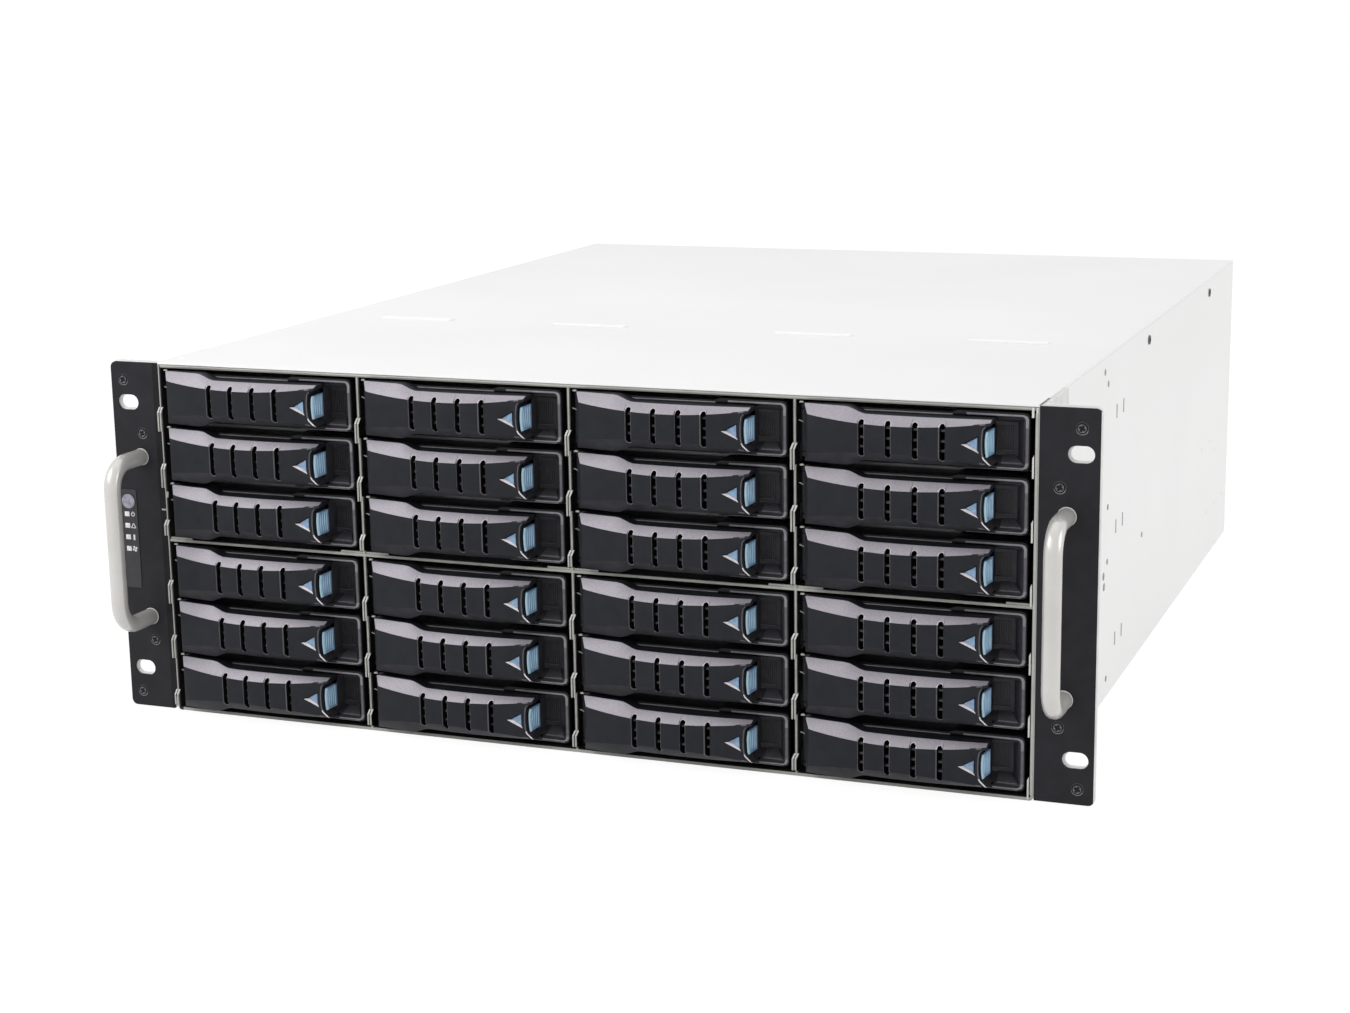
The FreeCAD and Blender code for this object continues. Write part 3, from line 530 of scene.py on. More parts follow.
def relit(mesh):
    # the rims carry a painted highlight where they face the light and painted shade where they turn from it
    v = lever
    slotStart, slotEnd = v["slotStretch"]
    arrowStart, arrowEnd = v["arrowStretch"]
    lipStart, lipEnd = v["lip"]
    for f in mesh.polygons:
        if f.material_index != tone["rim"]:
            continue
        x, y, z = f.center
        onSlot = slotStart < x < slotEnd
        lipLine = v["lipFoot"] - (x - lipStart - 0.1) * v["lipSlope"]
        pocketLip = lipStart < x < lipEnd and z < v["lipTop"] and abs(z - lipLine) < v["lipWide"]
        tipTop = x < v["tipLit"][0] and z > v["tipLit"][1]
        outerEdge = x < v["tipEnd"] or abs(z) > v["edgeHeight"] or y > v["edgeDepth"]
        besideButton = arrowStart < x < arrowEnd or (x > v["padStart"] and abs(z) > v["padHeight"])
        if (onSlot and z > v["slotTop"]) or pocketLip or tipTop:
            f.material_index = tone["lit"]
        elif outerEdge or besideButton:
            f.material_index = tone["face"]
        elif onSlot and y > v["slotDepth"] - bowed(v["bulge"], x):
            f.material_index = tone["under"]
    return mesh


def leverArm():
    # the hinge barrel and the web that holds it
    x, y, half = bay["hingeX"], bay["hingeY"], lever["barrelHalf"]
    bm = bmesh.new()
    discIn(bm, (x, y, 0), lever["barrel"], 2 * half, axis="Z", sides=20)
    barrel = softened(bm, 0.3, 2, leverFace)
    bm = bmesh.new()
    outlineSolid(bm, [(x + across, y + deep, -half) for across, deep in lever["web"]], 2, 2 * half)
    return barrel, softened(bm, 0.25, 2, leverFace)


arrowFront = -bowed(lever["bulge"], lever["arrowSeat"])
slots, bars = leverSlots()
leverTop = relit(settled(leverBody(), edge=0.2, angle=26, segments=2, rim=lever["rim"], rimIndex=tone["rim"],
                         cutters=slots + [arrowCut(arrowFront), buttonPocket()]))
leverMesh = joined(leverTop, bars, *leverArm())


button = {"left": (86.7, -7.0), "right": (88.6, 0.5), "thick": 1.2, "half": 5.9, "turn": 1.3, "slices": 10,
          "ribs": (2.2, 3.6, 5.0, 6.4), "ribLow": -4.6, "ribTall": 8.6, "ribGrowth": 0.2}


def buttonMesh():
    # a thumb pad that leans back to the lever's end, with a bowed left edge and fine upright grips that carry
    # a painted highlight
    (x0, y0), (x1, y1) = button["left"], button["right"]
    lean = Vector((x1 - x0, y1 - y0, 0)).normalized()
    out = Vector((lean.y, -lean.x, 0))
    half = button["half"]
    a, b = Vector((x0, y0, 0)), Vector((x1, y1, 0))
    turn = a + lean * button["turn"]
    ring = [a - out * 0.7, a - out * 0.35 - lean * 0.3, a + out * 0.1 + lean * 0.1, turn + out * 0.1, turn,
            b, b - out * button["thick"], a - out * button["thick"] + lean * 0.6]
    bm = bmesh.new()
    outlineSolid(bm, [(p.x, p.y, -half) for p in ring], 2, 2 * half)
    for n in range(1, button["slices"]):
        sliceAt(bm, (0, 0, -half + n * 2 * half / button["slices"]), (0, 0, 1))
    for f in bm.faces:
        f.normal_update()
        if abs(f.normal.z) < 0.5 and (f.calc_center_median() - a).xy.dot(lean.xy) < button["turn"] + 0.02:
            f.material_index = 1
    for v in bm.verts:  # the ends bow outwards and the upper one sinks a little
        t = v.co.z / half
        near = min(max(1 - (v.co.y - y0) / (y1 - y0), 0), 1)
        v.co.x += near * 0.5 * t * t
        v.co.z += near * (-0.25 - 0.1 * t) * abs(t) + (1 - near) * 0.35 * t * t - 0.8 * max(t, 0)
    pad = settled(meshFrom(bm, buttonBlue, buttonPaintedHighlight), edge=0.16, angle=40, segments=2)
    bm = bmesh.new()
    for n, along in enumerate(button["ribs"]):
        foot = a + lean * along
        ridge = [foot + lean * shift + out * rise for shift, rise in
                 ((-0.3, -0.2), (-0.12, 0.22), (0.12, 0.22), (0.3, -0.2))]
        outlineSolid(bm, [(p.x, p.y, button["ribLow"]) for p in ridge], 2,
                     button["ribTall"] + n * button["ribGrowth"])
    return joined(pad, meshFrom(bm, buttonPaintedHighlight))


def lensMesh():
    bm = bmesh.new()
    faceOutline(bm, lever["lens"], arrowFront + lever["arrowDepth"], -lever["lensThick"])
    return softened(bm, 0.12, 1, lensBlue)


buttonShape, lensShape = buttonMesh(), lensMesh()
for spot, origin in bayPlaces():
    holder = "latch_lever" + spot
    moulding = addPiece("lever" + spot, leverMesh, holder, origin)
    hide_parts("latch_lever" + spot)
    addPiece("button" + spot, buttonShape, holder, origin)
    addPiece("lens" + spot, lensShape, holder, origin)
print("levers placed,", len(leverMesh.polygons), "faces each")


bezel = {"left": 12.5, "right": 103.8, "half": 12.4, "step": 1.0, "stepEnd": 70.0, "stepRun": 2.5,
         "corner": 2.0, "cornerMiddle": 0.6, "depth": 14.0, "seat": 1.5, "seatHalf": 10.35,
         "recess": (86.5, 101.6, 9.75), "recessBack": (96.3, -8.4, 6.3), "recessDepth": 12.0,
         "ribs": [87.0 + n * 0.98 for n in range(8)], "ribHalf": 0.2, "ribDepth": (11.5, 12.1),
         "ribHeight": (-5.6, 4.6), "ledge": ((86.8, 10.9, -6.2), (94.3, 12.1, -5.8)), "rampThick": 0.45,
         "ramp": [(89.4, 12, -8.3), (94.6, 12, -8.3), (100.3, 0.7, -9.65), (91.4, 0.7, -9.65)],
         "beadOut": [(76.5, 11.55), (101.0, 11.55), (102.7, 11.0), (103.3, 9.5), (103.3, -9.7),
                     (102.7, -11.2), (101.0, -11.7), (89.6, -11.7)],
         "beadIn": [(89.6, -11.1), (100.6, -11.1), (101.5, -10.6), (101.95, -9.5), (101.95, 9.3),
                    (101.5, 10.3), (100.6, 10.75), (76.5, 10.75)], "beadLight": (-9, 6),
         "beadFront": -0.3, "beadThick": 0.7, "beadInner": 101.6,
         "lines": [((31, -0.2, 10.2), (70.6, 0.3, 10.75)), ((76.5, -0.15, -12.2), (101, 0.3, -11.95))],
         "knuckle": 2.6, "knuckles": (9.6, -11.5), "knuckleTall": 1.9, "pins": (11.7, -11.7), "pin": 1.3,
         "catchTop": [(2.0, 12.0), (4.0, 12.0), (4.2, 12.5), (3.4, 12.9), (2.2, 12.8)],
         "catchMiddle": [(1.7, 4.6), (5.0, 3.4), (5.0, 3.0), (1.7, 4.2)]}


def bezelMesh():
    b = bezel
    low, high, c, m = b["half"] - b["step"], b["half"], b["corner"], b["cornerMiddle"]
    upper = [(b["left"], low), (b["stepEnd"], low), (b["stepEnd"] + b["stepRun"], high),
             (b["right"] - c, high), (b["right"] - m, high - m), (b["right"], high - c)]
    bm = bmesh.new()
    faceOutline(bm, upper + [(x, -z) for x, z in reversed(upper)], 0, b["depth"])
    seat = bmesh.new()
    boxIn(seat, (0, -5, -20), (lever["stepEnd"], b["seat"], 20))
    bar = bmesh.new()
    boxIn(bar, (0, -5, -b["seatHalf"]), (lever["right"] + 0.6, b["seat"], b["seatHalf"]))
    recess = bmesh.new()
    (x0, x1, z1), (farX, farLow, farHigh) = b["recess"], b["recessBack"]
    squeezeX, squeezeZ = (farX - x0) / (x1 - x0), (farHigh - farLow) / 2 / z1
    faceOutline(recess, [(x0, -z1), (x1, -z1), (x1, z1), (x0, z1)], -0.02, b["recessDepth"], lambda p: Vector(
        (x0 + (p.x - x0) * squeezeX, p.y, (farLow + farHigh) / 2 + p.z * squeezeZ)))
    # the recess walls take the painted light of the recess
    for f in recess.faces:
        f.material_index = 1
    return settled(meshFrom(bm, bezelPlastic, bezelRecessPaintedLight), edge=0.35, angle=28, segments=2,
                   cutters=[meshFrom(cut, bezelPlastic) for cut in (seat, bar, recess)])


def recessParts():
    # the ribbed back of the finger recess in a painted soft light, and a ledge under it and the ramp that the
    # finger slides on, both in a painted edge light
    bm = bmesh.new()
    half, (front, back), (low, high) = bezel["ribHalf"], bezel["ribDepth"], bezel["ribHeight"]
    for x in bezel["ribs"]:
        boxIn(bm, (x - half, front, low), (x + half, back, high))
    ribs = meshFrom(bm, bezelPaintedSoftLight)
    bm = bmesh.new()
    boxIn(bm, *bezel["ledge"])
    outlineSolid(bm, bezel["ramp"], 2, bezel["rampThick"])
    return ribs, meshFrom(bm, paintedEdgeLight)


def rimBeads():
    # the raised bead round the recess end, in a painted highlight: dim at the top, bright where it turns
    # under; the rim lines too
    low, high = bezel["beadLight"]
    bm = bmesh.new()
    faceOutline(bm, bezel["beadOut"] + bezel["beadIn"], bezel["beadFront"], bezel["beadThick"])
    for z in (low, high):
        sliceAt(bm, (0, 0, z), (0, 0, 1))
    for f in bm.faces:
        middle = f.calc_center_median()
        if low < middle.z < high or (middle.x > bezel["beadInner"] and middle.z > high):
            f.material_index = 1
    bead = settled(meshFrom(bm, paintedRimHighlight, paintedEdgeLight), edge=0.15, angle=50, segments=1)
    return bead, softBoxes(paintedRimHighlight, 0.12, 1, *bezel["lines"])


def hingePlates():
    # the two knuckles that hold the lever's barrel, the pin's heads, and the sheet catches beside them; the
    # upper catch's bright zinc stands for a painted highlight at the top knuckle
    bm = bmesh.new()
    x, y, r = bay["hingeX"], bay["hingeY"], bezel["knuckle"]
    start, seat, back = bezel["left"], bezel["seat"], bezel["depth"]
    plate = [(x + 1.0, y - r), (x - 1.1, y - r), (x - r, y - 1.1), (x - r, back), (start, back),
             (start, seat), (x + r, seat)]
    for z in bezel["knuckles"]:
        outlineSolid(bm, [(across, deep, z) for across, deep in plate], 2, bezel["knuckleTall"])
    plates = softened(bm, 0.3, 2, bezelPlastic)
    bm = bmesh.new()
    for z in bezel["pins"]:
        discIn(bm, (x, y, z), bezel["pin"], 0.6, axis="Z", sides=14)
    pins = softened(bm, 0.15, 1, screwBlack)
    bm = bmesh.new()
    faceOutline(bm, bezel["catchTop"], 0.6, 1.2)
    faceOutline(bm, bezel["catchMiddle"], 0.8, 1.0)
    return plates, pins, softened(bm, 0.15, 1, zincSheet)


tray = {"left": 1.0, "right": 104.6, "front": 14.0, "end": 160.0, "sheet": 1.0, "low": -8.0, "tall": 14.0,
        "windows": (50, 84, 118), "windowHalf": 7, "windowLow": -3, "windowHigh": 2.5, "windowCorner": 2.4,
        "screws": (33, 67, 135), "screwZ": -2, "screw": 2.6, "screwTall": 0.4}


def trayMesh():
    x0, x1, y0, y1, t = tray["left"], tray["right"], tray["front"], tray["end"], tray["sheet"]
    bm = bmesh.new()
    outlineSolid(bm, [(x, y, tray["low"]) for x, y in
                      ((x0, y0), (x1, y0), (x1, y1), (x1 - t, y1), (x1 - t, y0 + t), (x0 + t, y0 + t),
                       (x0 + t, y1), (x0, y1))], 2, tray["tall"])
    cutters = []
    for y in tray["windows"]:
        hole = bmesh.new()
        boxIn(hole, (x0 - 3, y - tray["windowHalf"], tray["windowLow"]),
              (x1 + 3.4, y + tray["windowHalf"], tray["windowHigh"]))
        roundEdges(hole, 0, tray["windowCorner"], 3)
        cutters.append(meshFrom(hole, zincSheet))
    sheet = settled(meshFrom(bm, zincSheet), edge=0.2, segments=1, cutters=cutters)
    bm = bmesh.new()
    for y in tray["screws"]:
        for x in (x0 - 0.1, x1 + 0.1):
            discIn(bm, (x, y, tray["screwZ"]), tray["screw"], tray["screwTall"], axis="X", sides=14)
    return joined(sheet, softened(bm, 0.12, 1, screwZinc))


drive = {"casting": ((2.0, 15, -13.05), (103.6, 162, 9.5)), "lid": ((4.0, 17, 9.5), (101.6, 158, 12.2)),
         "hub": (52.8, 70), "raised": 34, "cap": 9, "screwsX": (8, 97.6), "screwsY": (21, 88, 154),
         "screw": 2.2}


def driveMesh():
    bm = bmesh.new()
    boxIn(bm, *drive["lid"])
    top = drive["lid"][1][2]
    discIn(bm, (*drive["hub"], top + 0.1), drive["raised"], 0.7, axis="Z", sides=40, tip=drive["raised"] - 1)
    discIn(bm, (*drive["hub"], top + 0.3), drive["cap"], 0.9, axis="Z", sides=24)
    lid = softened(bm, 0.3, 1, driveLid)
    bm = bmesh.new()
    for y in drive["screwsY"]:
        for x in drive["screwsX"]:
            discIn(bm, (x, y, top + 0.3), drive["screw"], 0.8, axis="Z", sides=12)
    return joined(softBoxes(driveCasting, 1.2, 2, drive["casting"]), lid,
                  softened(bm, 0.12, 1, screwBlack))


carrierParts = {"bezel": joined(bezelMesh(), *recessParts(), *rimBeads(), *hingePlates()),
                "tray": trayMesh(), "drive": driveMesh()}
for spot, origin in bayPlaces():
    for kind, mesh in carrierParts.items():
        piece = addPiece(kind + spot, mesh, "carrier" + spot, origin)
        if kind == "bezel":
            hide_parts("carrier" + spot)
print("carriers placed")


handle = {"x": wallX + 12.2, "radius": 4.0, "reach": 25.98, "pitch": 80.0, "bend": 12.0, "sides": 28,
          "steps": 12, "collar": 4.2, "collarTall": 0.6}


def handleMesh(x):
    # one ring carried out of the ear, round a bend, down and back
    h = handle
    half = h["pitch"] / 2
    bm = bmesh.new()
    start = bmesh.ops.create_circle(bm, segments=h["sides"], radius=h["radius"], cap_ends=False,
                                    matrix=Matrix.Translation((x, frontY, midZ + half))
                                    @ Matrix.Rotation(math.pi / 2, 4, "X"))
    ring = [e for e in bm.edges if e.verts[0] in start["verts"]]
    first = list(ring)
    bendY = frontY - h["reach"] + h["bend"]
    # a vector is a straight run, a number is the height of a bend's centre
    moves = [Vector((0, bendY - frontY, 0)), midZ + half - h["bend"], Vector((0, 0, 2 * (h["bend"] - half))),
             midZ - half + h["bend"], Vector((0, frontY - bendY, 0))]
    for move in moves:
        if isinstance(move, Vector):
            grown = bmesh.ops.extrude_edge_only(bm, edges=ring)["geom"]
            bmesh.ops.translate(bm, verts=[g for g in grown if isinstance(g, bmesh.types.BMVert)], vec=move)
            ring = [g for g in grown if isinstance(g, bmesh.types.BMEdge) and g.is_boundary]
        else:
            spun = bmesh.ops.spin(bm, geom=ring, cent=(x, bendY, move), axis=(1, 0, 0), angle=math.pi / 2,
                                  steps=h["steps"], use_duplicate=False)
            ring = [g for g in spun["geom_last"] if isinstance(g, bmesh.types.BMEdge)]
    bmesh.ops.edgeloop_fill(bm, edges=first)
    bmesh.ops.edgeloop_fill(bm, edges=ring)
    return meshFrom(bm, rodSatin)


for word, side in sides.items():
    x = side * handle["x"]
    grip = addPiece("ear_handle_" + word, handleMesh(x), "chassis", smooth=50)
    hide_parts("ear_handles")
    # bright collars where the rod meets the ear carry a painted highlight on that shoulder
    bm = bmesh.new()
    for lift in (-1, 1):
        middle = (x, frontY - handle["collarTall"] / 2, midZ + lift * handle["pitch"] / 2)
        discIn(bm, middle, handle["collar"], handle["collarTall"], sides=36)
    collars = softened(bm, 0.18, 2, zincPaintedHighlight)
    addPiece("handle_collars_" + word, collars, "chassis")


# shares of a head's radius, and of its height for the depth
screwShape = {"base": 0.86, "long": 0.78, "wide": 0.3, "depth": 0.75, "turn": 0.5}


def crossScrew(radius, height):
    # a screw head with a cross recess, lying against the face behind it; the recess is in the darker moulding
    # as painted shade
    bm = bmesh.new()
    discIn(bm, (0, -height / 2, 0), radius * screwShape["base"], height, sides=24, tip=radius)
    long, wide, y = radius * screwShape["long"], radius * screwShape["wide"], -height - 1
    points = []
    for turn in range(4):
        spin = Matrix.Rotation(turn * math.pi / 2 + screwShape["turn"], 3, "Y")
        points += [spin @ Vector((x, y, z)) for x, z in ((-wide, long), (wide, long), (wide, wide))]
    cross = bmesh.new()
    outlineSolid(cross, points, 1, 1 + height * screwShape["depth"])
    for f in cross.faces:
        f.material_index = 1
    return settled(meshFrom(bm, screwBlack, bezelPlastic), edge=0.1, segments=2,
                   cutters=[meshFrom(cross, screwBlack)])


def screwRing(radius):
    # the pressed rim round a sunk screw: a groove in painted shade and a lip with a painted highlight on its
    # lower side
    bm = bmesh.new()
    discIn(bm, (0, -0.15, 0), radius, 0.3, sides=36, tip=radius - 0.25)
    hole = bmesh.new()
    discIn(hole, (0, 0, 0), radius - 0.42, 2, sides=36)
    ring = settled(meshFrom(bm, filmGrey, paintedRimHighlight, bezelPlastic), cutters=[meshFrom(hole, filmGrey)])
    for f in ring.polygons:
        f.material_index = 1 if f.center.z < -radius * 0.5 else 0
    bm = bmesh.new()
    discIn(bm, (0, -0.04, 0), radius - 0.3, 0.08, sides=36)
    return joined(ring, meshFrom(bm, bezelPlastic))


earScrews = {"left": [(-234.5, 164.5), (-225.5, 138.5), (-225.5, 35.0), (-234.5, 8.0)],
             "right": [(232.8, 164.6), (223.8, 139.0), (224.8, 34.2), (233.8, 7.4)],
             "radius": 1.9, "height": 0.5, "ring": 2.9}
head = joined(crossScrew(earScrews["radius"], earScrews["height"]), screwRing(earScrews["ring"]))
for word in sides:
    for n, (x, z) in enumerate(earScrews[word]):
        addPiece(f"ear_screw_{word}_{n + 1}", head, "chassis", (x, frontY, z))


backing = {"inner": wallX + 2.0, "outer": earHigh.x - 0.02, "front": 0.05, "back": 0.9, "low": 0.6,
           "high": topZ + 0.5, "corner": 3, "slotX": earHigh.x - 8.75, "slotHalf": 5.2,
           "slotRise": 20.1, "slotBelow": 2.9, "slotAbove": 3.3, "foot": 6}


def earBacking(side):
    # the pale flange behind each black ear, seen at its top and through the rack slots
    b = backing
    bm = bmesh.new()
    boxIn(bm, (b["inner"], b["front"], b["low"]), (b["outer"], b["back"], b["high"]))
    roundEdges(bm, 1, b["corner"], 5, beyond=b["outer"] - 1)
    bmesh.ops.scale(bm, verts=bm.verts, vec=(side, 1, 1))
    holes = []
    middle = side * b["slotX"] + 0.5
    for z in (topZ - b["slotRise"], b["slotRise"]):
        hole = bmesh.new()
        boxIn(hole, (middle - b["slotHalf"], -1, z - b["slotBelow"]),
              (middle + b["slotHalf"], 2, z + b["slotAbove"]))
        roundEdges(hole, 1, 3, 6)
        holes.append(meshFrom(hole, whitePaint))
    back = settled(meshFrom(bm, whitePaint), edge=0.12, segments=1, cutters=holes)
    if side < 0:
        return back
    # on the right the black face runs down beside the chassis to its foot
    bm = bmesh.new()
    boxIn(bm, (wallX + 0.05, frontY, earLow.z), (b["inner"], frontY + 1.0, earLow.z + b["foot"]))
    return joined(back, meshFrom(bm, earPaint))


for word, side in sides.items():
    addPiece("ear_backing_" + word, earBacking(side), "chassis")


guides = {"top": -5.6, "knee": -8.6, "foot": -17.7, "lean": 1.3, "wide": 0.9, "wallTwo": (-1.7, -0.3),
          "dividerTwo": (-2.1, -0.75), "shelfGap": 1.4, "floorGap": 2.4, "front": frontY - 0.3, "thick": 0.55,
          "kneeFront": frontY - 0.35, "kneeThick": 0.6, "tabFront": frontY - 0.25, "tabThick": 0.5,
          "tab": [(-2.9, -15.4), (-2.1, -15.4), (-2.1, -5.2), (-2.9, -6.8)]}
trims = {"strip": ((wallX - 1.7, frontY - 0.2, 2.6), (wallX - 0.5, frontY + 0.1, topZ - 3.4)),
         "stripTop": ((wallX - 1.4, frontY - 0.3, topZ - 3.6), (wallX - 0.6, frontY + 0.3, topZ - 1.2)),
         "topTab": ((wallX - 3.3, frontY - 0.25, 168.0), (wallX - 2.3, frontY + 0.3, 172.4)),
         "stud": ((-wallX - 2.5, frontY - 0.2, 100.8), (-wallX, frontY + 0.2, 101.6)),
         "bent": [(-wallX + 0.6, 107.0), (-wallX + 1.8, 107.4), (-wallX + 2.0, 110.2), (-wallX + 0.8, 110.5)],
         "hem": ((-wallX + 1.2, frontY - 0.1, topZ - 2.05), (wallX - 2.0, frontY + 1.0, topZ - 1.15)),
         "seam": ((wallX - 0.45, frontY + 0.3, topZ - 0.4), (wallX + 0.04, frontY + 19, topZ + 0.03))}


def rowTongues(x, lefts):
    # beside every bay a pair of thin tongues, with knees that lean to the right, bright with a painted
    # highlight
    g = guides
    bm = bmesh.new()
    knees = bmesh.new()
    for z in rowZ:
        foot = max(z + g["foot"], midZ + g["shelfGap"] if z > midZ else g["floorGap"])
        knee, top, lean = z + g["knee"], z + g["top"], g["lean"]
        for left in lefts:
            a, b = x + left, x + left + g["wide"]
            faceOutline(bm, [(a, foot), (b, foot), (b, knee), (a, knee)], g["front"], g["thick"])
            faceOutline(knees, [(a, knee), (b, knee), (b + lean, top), (a + lean, top)], g["kneeFront"],
                        g["kneeThick"])
    return joined(softened(bm, 0.15, 1, zincSheet), softened(knees, 0.15, 1, zincPaintedHighlight))


def wallStrip():
    # the right wall's folded front edge, brightest at its top, with a small tab beside it at every row; the
    # top and the tabs carry a painted highlight
    bm = bmesh.new()
    boxIn(bm, *trims["stripTop"])
    boxIn(bm, *trims["topTab"])
    for z in rowZ:
        faceOutline(bm, [(wallX + across, z + up) for across, up in guides["tab"]], guides["tabFront"],
                    guides["tabThick"])
    return joined(softBoxes(zincSheet, 0.2, 1, trims["strip"]), softened(bm, 0.15, 1, zincPaintedHighlight))


def wallStuds():
    # two small bright studs beside the left wall's guides
    bm = bmesh.new()
    boxIn(bm, *trims["stud"])
    faceOutline(bm, trims["bent"], frontY - 0.1, 0.5)
    return softened(bm, 0.2, 1, zincSheet)


dividers = [(x, guides["dividerTwo"]) for x in (-bay["pitchX"], 0.0, bay["pitchX"])]
for n, (x, lefts) in enumerate([(-wallX, guides["wallTwo"])] + dividers):
    addPiece(f"row_tongues_{n + 1}", rowTongues(x, lefts), "chassis")
addPiece("right_wall_strip", wallStrip(), "chassis")
addPiece("wall_studs", wallStuds(), "chassis")
# the rolled lower edge of the front strip, and a dark strip of painted shade in the seam where the strip
# meets the right wall
addPiece("front_hem", softBoxes(zincSheet, 0.25, 2, trims["hem"]), "chassis")
addPiece("corner_seam_painted_shade", softBoxes(bezelPlastic, 0.1, 1, trims["seam"]), "chassis")


panel = {"face": frontY - 0.35, "shift": 0.4, "corner": 0.8, "disc": 3.6, "discAcross": 4.3, "discLow": 5.7,
         "lamps": 4, "lampX": panelLow.x + 2.9, "lampBelow": 6.5, "lampPitch": 5.8, "lampHalf": 1.35,
         "iconX": panelLow.x + 6.2}


def statusFilm():
    bm = bmesh.new()
    boxIn(bm, (panelLow.x + panel["shift"], panel["face"], panelLow.z),
          (panelHigh.x + panel["shift"], frontY, panelHigh.z))
    roundEdges(bm, 1, panel["corner"], 4)
    return settled(meshFrom(bm, filmGrey), edge=0.1, angle=60, segments=1)


def blankDisc(x, z):
    # a plain round cap: a raised ring round a slightly dished face
    bm = bmesh.new()
    made = bmesh.ops.create_circle(bm, cap_ends=True, segments=40, radius=panel["disc"],
                                   matrix=Matrix.Translation((x, panel["face"], z))
                                   @ Matrix.Rotation(math.pi / 2, 4, "X"))
    face = made["verts"][0].link_faces[0]
    for inset, forward in ((0.01, -0.45), (0.45, -0.15), (0.45, 0.25), (1.6, -0.1)):
        rim = bmesh.ops.inset_region(bm, faces=[face], thickness=inset, use_even_offset=True)["faces"]
        bmesh.ops.translate(bm, verts=face.verts[:], vec=(0, forward, 0))
        for f in rim:
            f.material_index = 1 if inset < 0.5 else 0
    return meshFrom(bm, discGrey, printWhite)


def lampIcons(x, z):
    # plain line marks beside the lamps, each lower than the last: a power ring, a warning triangle, a bar
    # and a small fan
    bm = bmesh.new()

    def stroke(start, stop, wide=0.38):
        a, b = (Vector((x + across, panel["face"], z + up)) for across, up in (start, stop))
        way = (b - a).normalized()
        side = Vector((-way.z, 0, way.x)) * wide / 2
        outlineSolid(bm, [a + side, b + side, b - side, a - side], 1, -0.06)

    def around(radius, degrees):
        return radius * math.cos(math.radians(degrees)), radius * math.sin(math.radians(degrees))

    for n in range(8):
        stroke(around(0.95, 120 + 42.5 * n), around(0.95, 120 + 42.5 * (n + 1)))
    stroke((0, 0.2), (0, 1.35))
    z -= panel["lampPitch"]
    triangle = [(-1.3, -1.05), (0, 1.3), (1.3, -1.05)]
    for n in range(3):
        stroke(triangle[n], triangle[(n + 1) % 3])
    z -= panel["lampPitch"]
    stroke((0, -1.35), (0, 1.35), 1.0)
    z -= panel["lampPitch"]
    for n in range(4):
        stroke(around(0.1, 90 * n + 25), around(1.4, 90 * n + 25), 1.0)
    return meshFrom(bm, printWhite)


discZ = panelHigh.z - panel["discLow"]
lampZ = discZ - panel["lampBelow"]
film = addPiece("status_film", statusFilm(), "chassis")
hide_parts("status_panel")
addPiece("status_disc", blankDisc(panelLow.x + panel["discAcross"], discZ), "chassis")
for n in range(panel["lamps"]):
    x, y, z, half = panel["lampX"], panel["face"], lampZ - n * panel["lampPitch"], panel["lampHalf"]
    low, high = (x - half, y - 0.15, z - half * 0.9), (x + half, y + 0.1, z + half * 0.9)
    window = softBoxes(lampClear, 0.12, 2, (low, high))
    addPiece(f"status_lamp_{n + 1}", window, "chassis")
addPiece("status_marks", lampIcons(panel["iconX"], lampZ), "chassis")
print("ears dressed")


shell = {"slits": [(168, 142), (185, 142), (172, 84), (189, 84), (176, 26), (193, 26)], "slitHalf": 3.4,
         "slitWide": 1.1, "rivets": [(150, 98.2), (151.6, 70.8), (243.5, 64), (155, 11), (51.5, 167.7),
                                     (136.6, 165.8), (145, 159), (435, 73), (465, 73), (485, 64), (461, 29.7),
                                     (491, 29.7), (521, 29.7)], "rivet": 1.5,
         "bolts": [(143.3, 65.3), (145, 59.7)], "bolt": 2.0, "paintedFrom": 400,
         "screws": [(50, 165), (250, 165), (445, 165)], "screw": 2.5, "screwTall": 0.7,
         "dimples": [(-97, 160), (85, 160), (-210, 13), (-56, 13), (51, 13), (204, 13)], "dimple": 2.6}


def wallSlits(x):
    wide, half = shell["slitWide"], shell["slitHalf"]
    return softBoxes(markGrey, 0.09, 1, *[((x - 0.1, y - wide, z - half), (x + 0.1, y + wide, z + half))
                                          for y, z in shell["slits"]])


def wallRivets(x):
    # flush rivets and two bolt heads; those far back are painted over
    bm = bmesh.new()
    for kind in ("rivet", "bolt"):
        for y, z in shell[kind + "s"]:
            discIn(bm, (x, y, z), shell[kind], 0.5, axis="X", sides=16)
    for f in bm.faces:
        f.material_index = int(f.calc_center_median().y > shell["paintedFrom"])
    return softened(bm, 0.12, 2, markGrey, whitePaint)


def coverScrews(side):
    heads = []
    small = crossScrew(shell["screw"], shell["screwTall"])
    for y, z in shell["screws"]:
        one = small.copy()
        one.transform(Matrix.Translation((side * wallX, y, z)) @ Matrix.Rotation(side * math.pi / 2, 4, "Z"))
        heads.append(one)
    return joined(*heads)


def coverDimples():
    bm = bmesh.new()
    for x, y in shell["dimples"]:
        discIn(bm, (x, y, topZ), shell["dimple"], 0.5, axis="Z", sides=24, tip=shell["dimple"] - 1)
    return softened(bm, 0.2, 2, whitePaint)


for word, side in sides.items():
    addPiece("wall_slits_" + word, wallSlits(side * wallX), "chassis")
    addPiece("wall_rivets_" + word, wallRivets(side * wallX), "chassis")
    addPiece("cover_screws_" + word, coverScrews(side), "chassis")
addPiece("cover_dimples", coverDimples(), "chassis")
print("shell dressed")


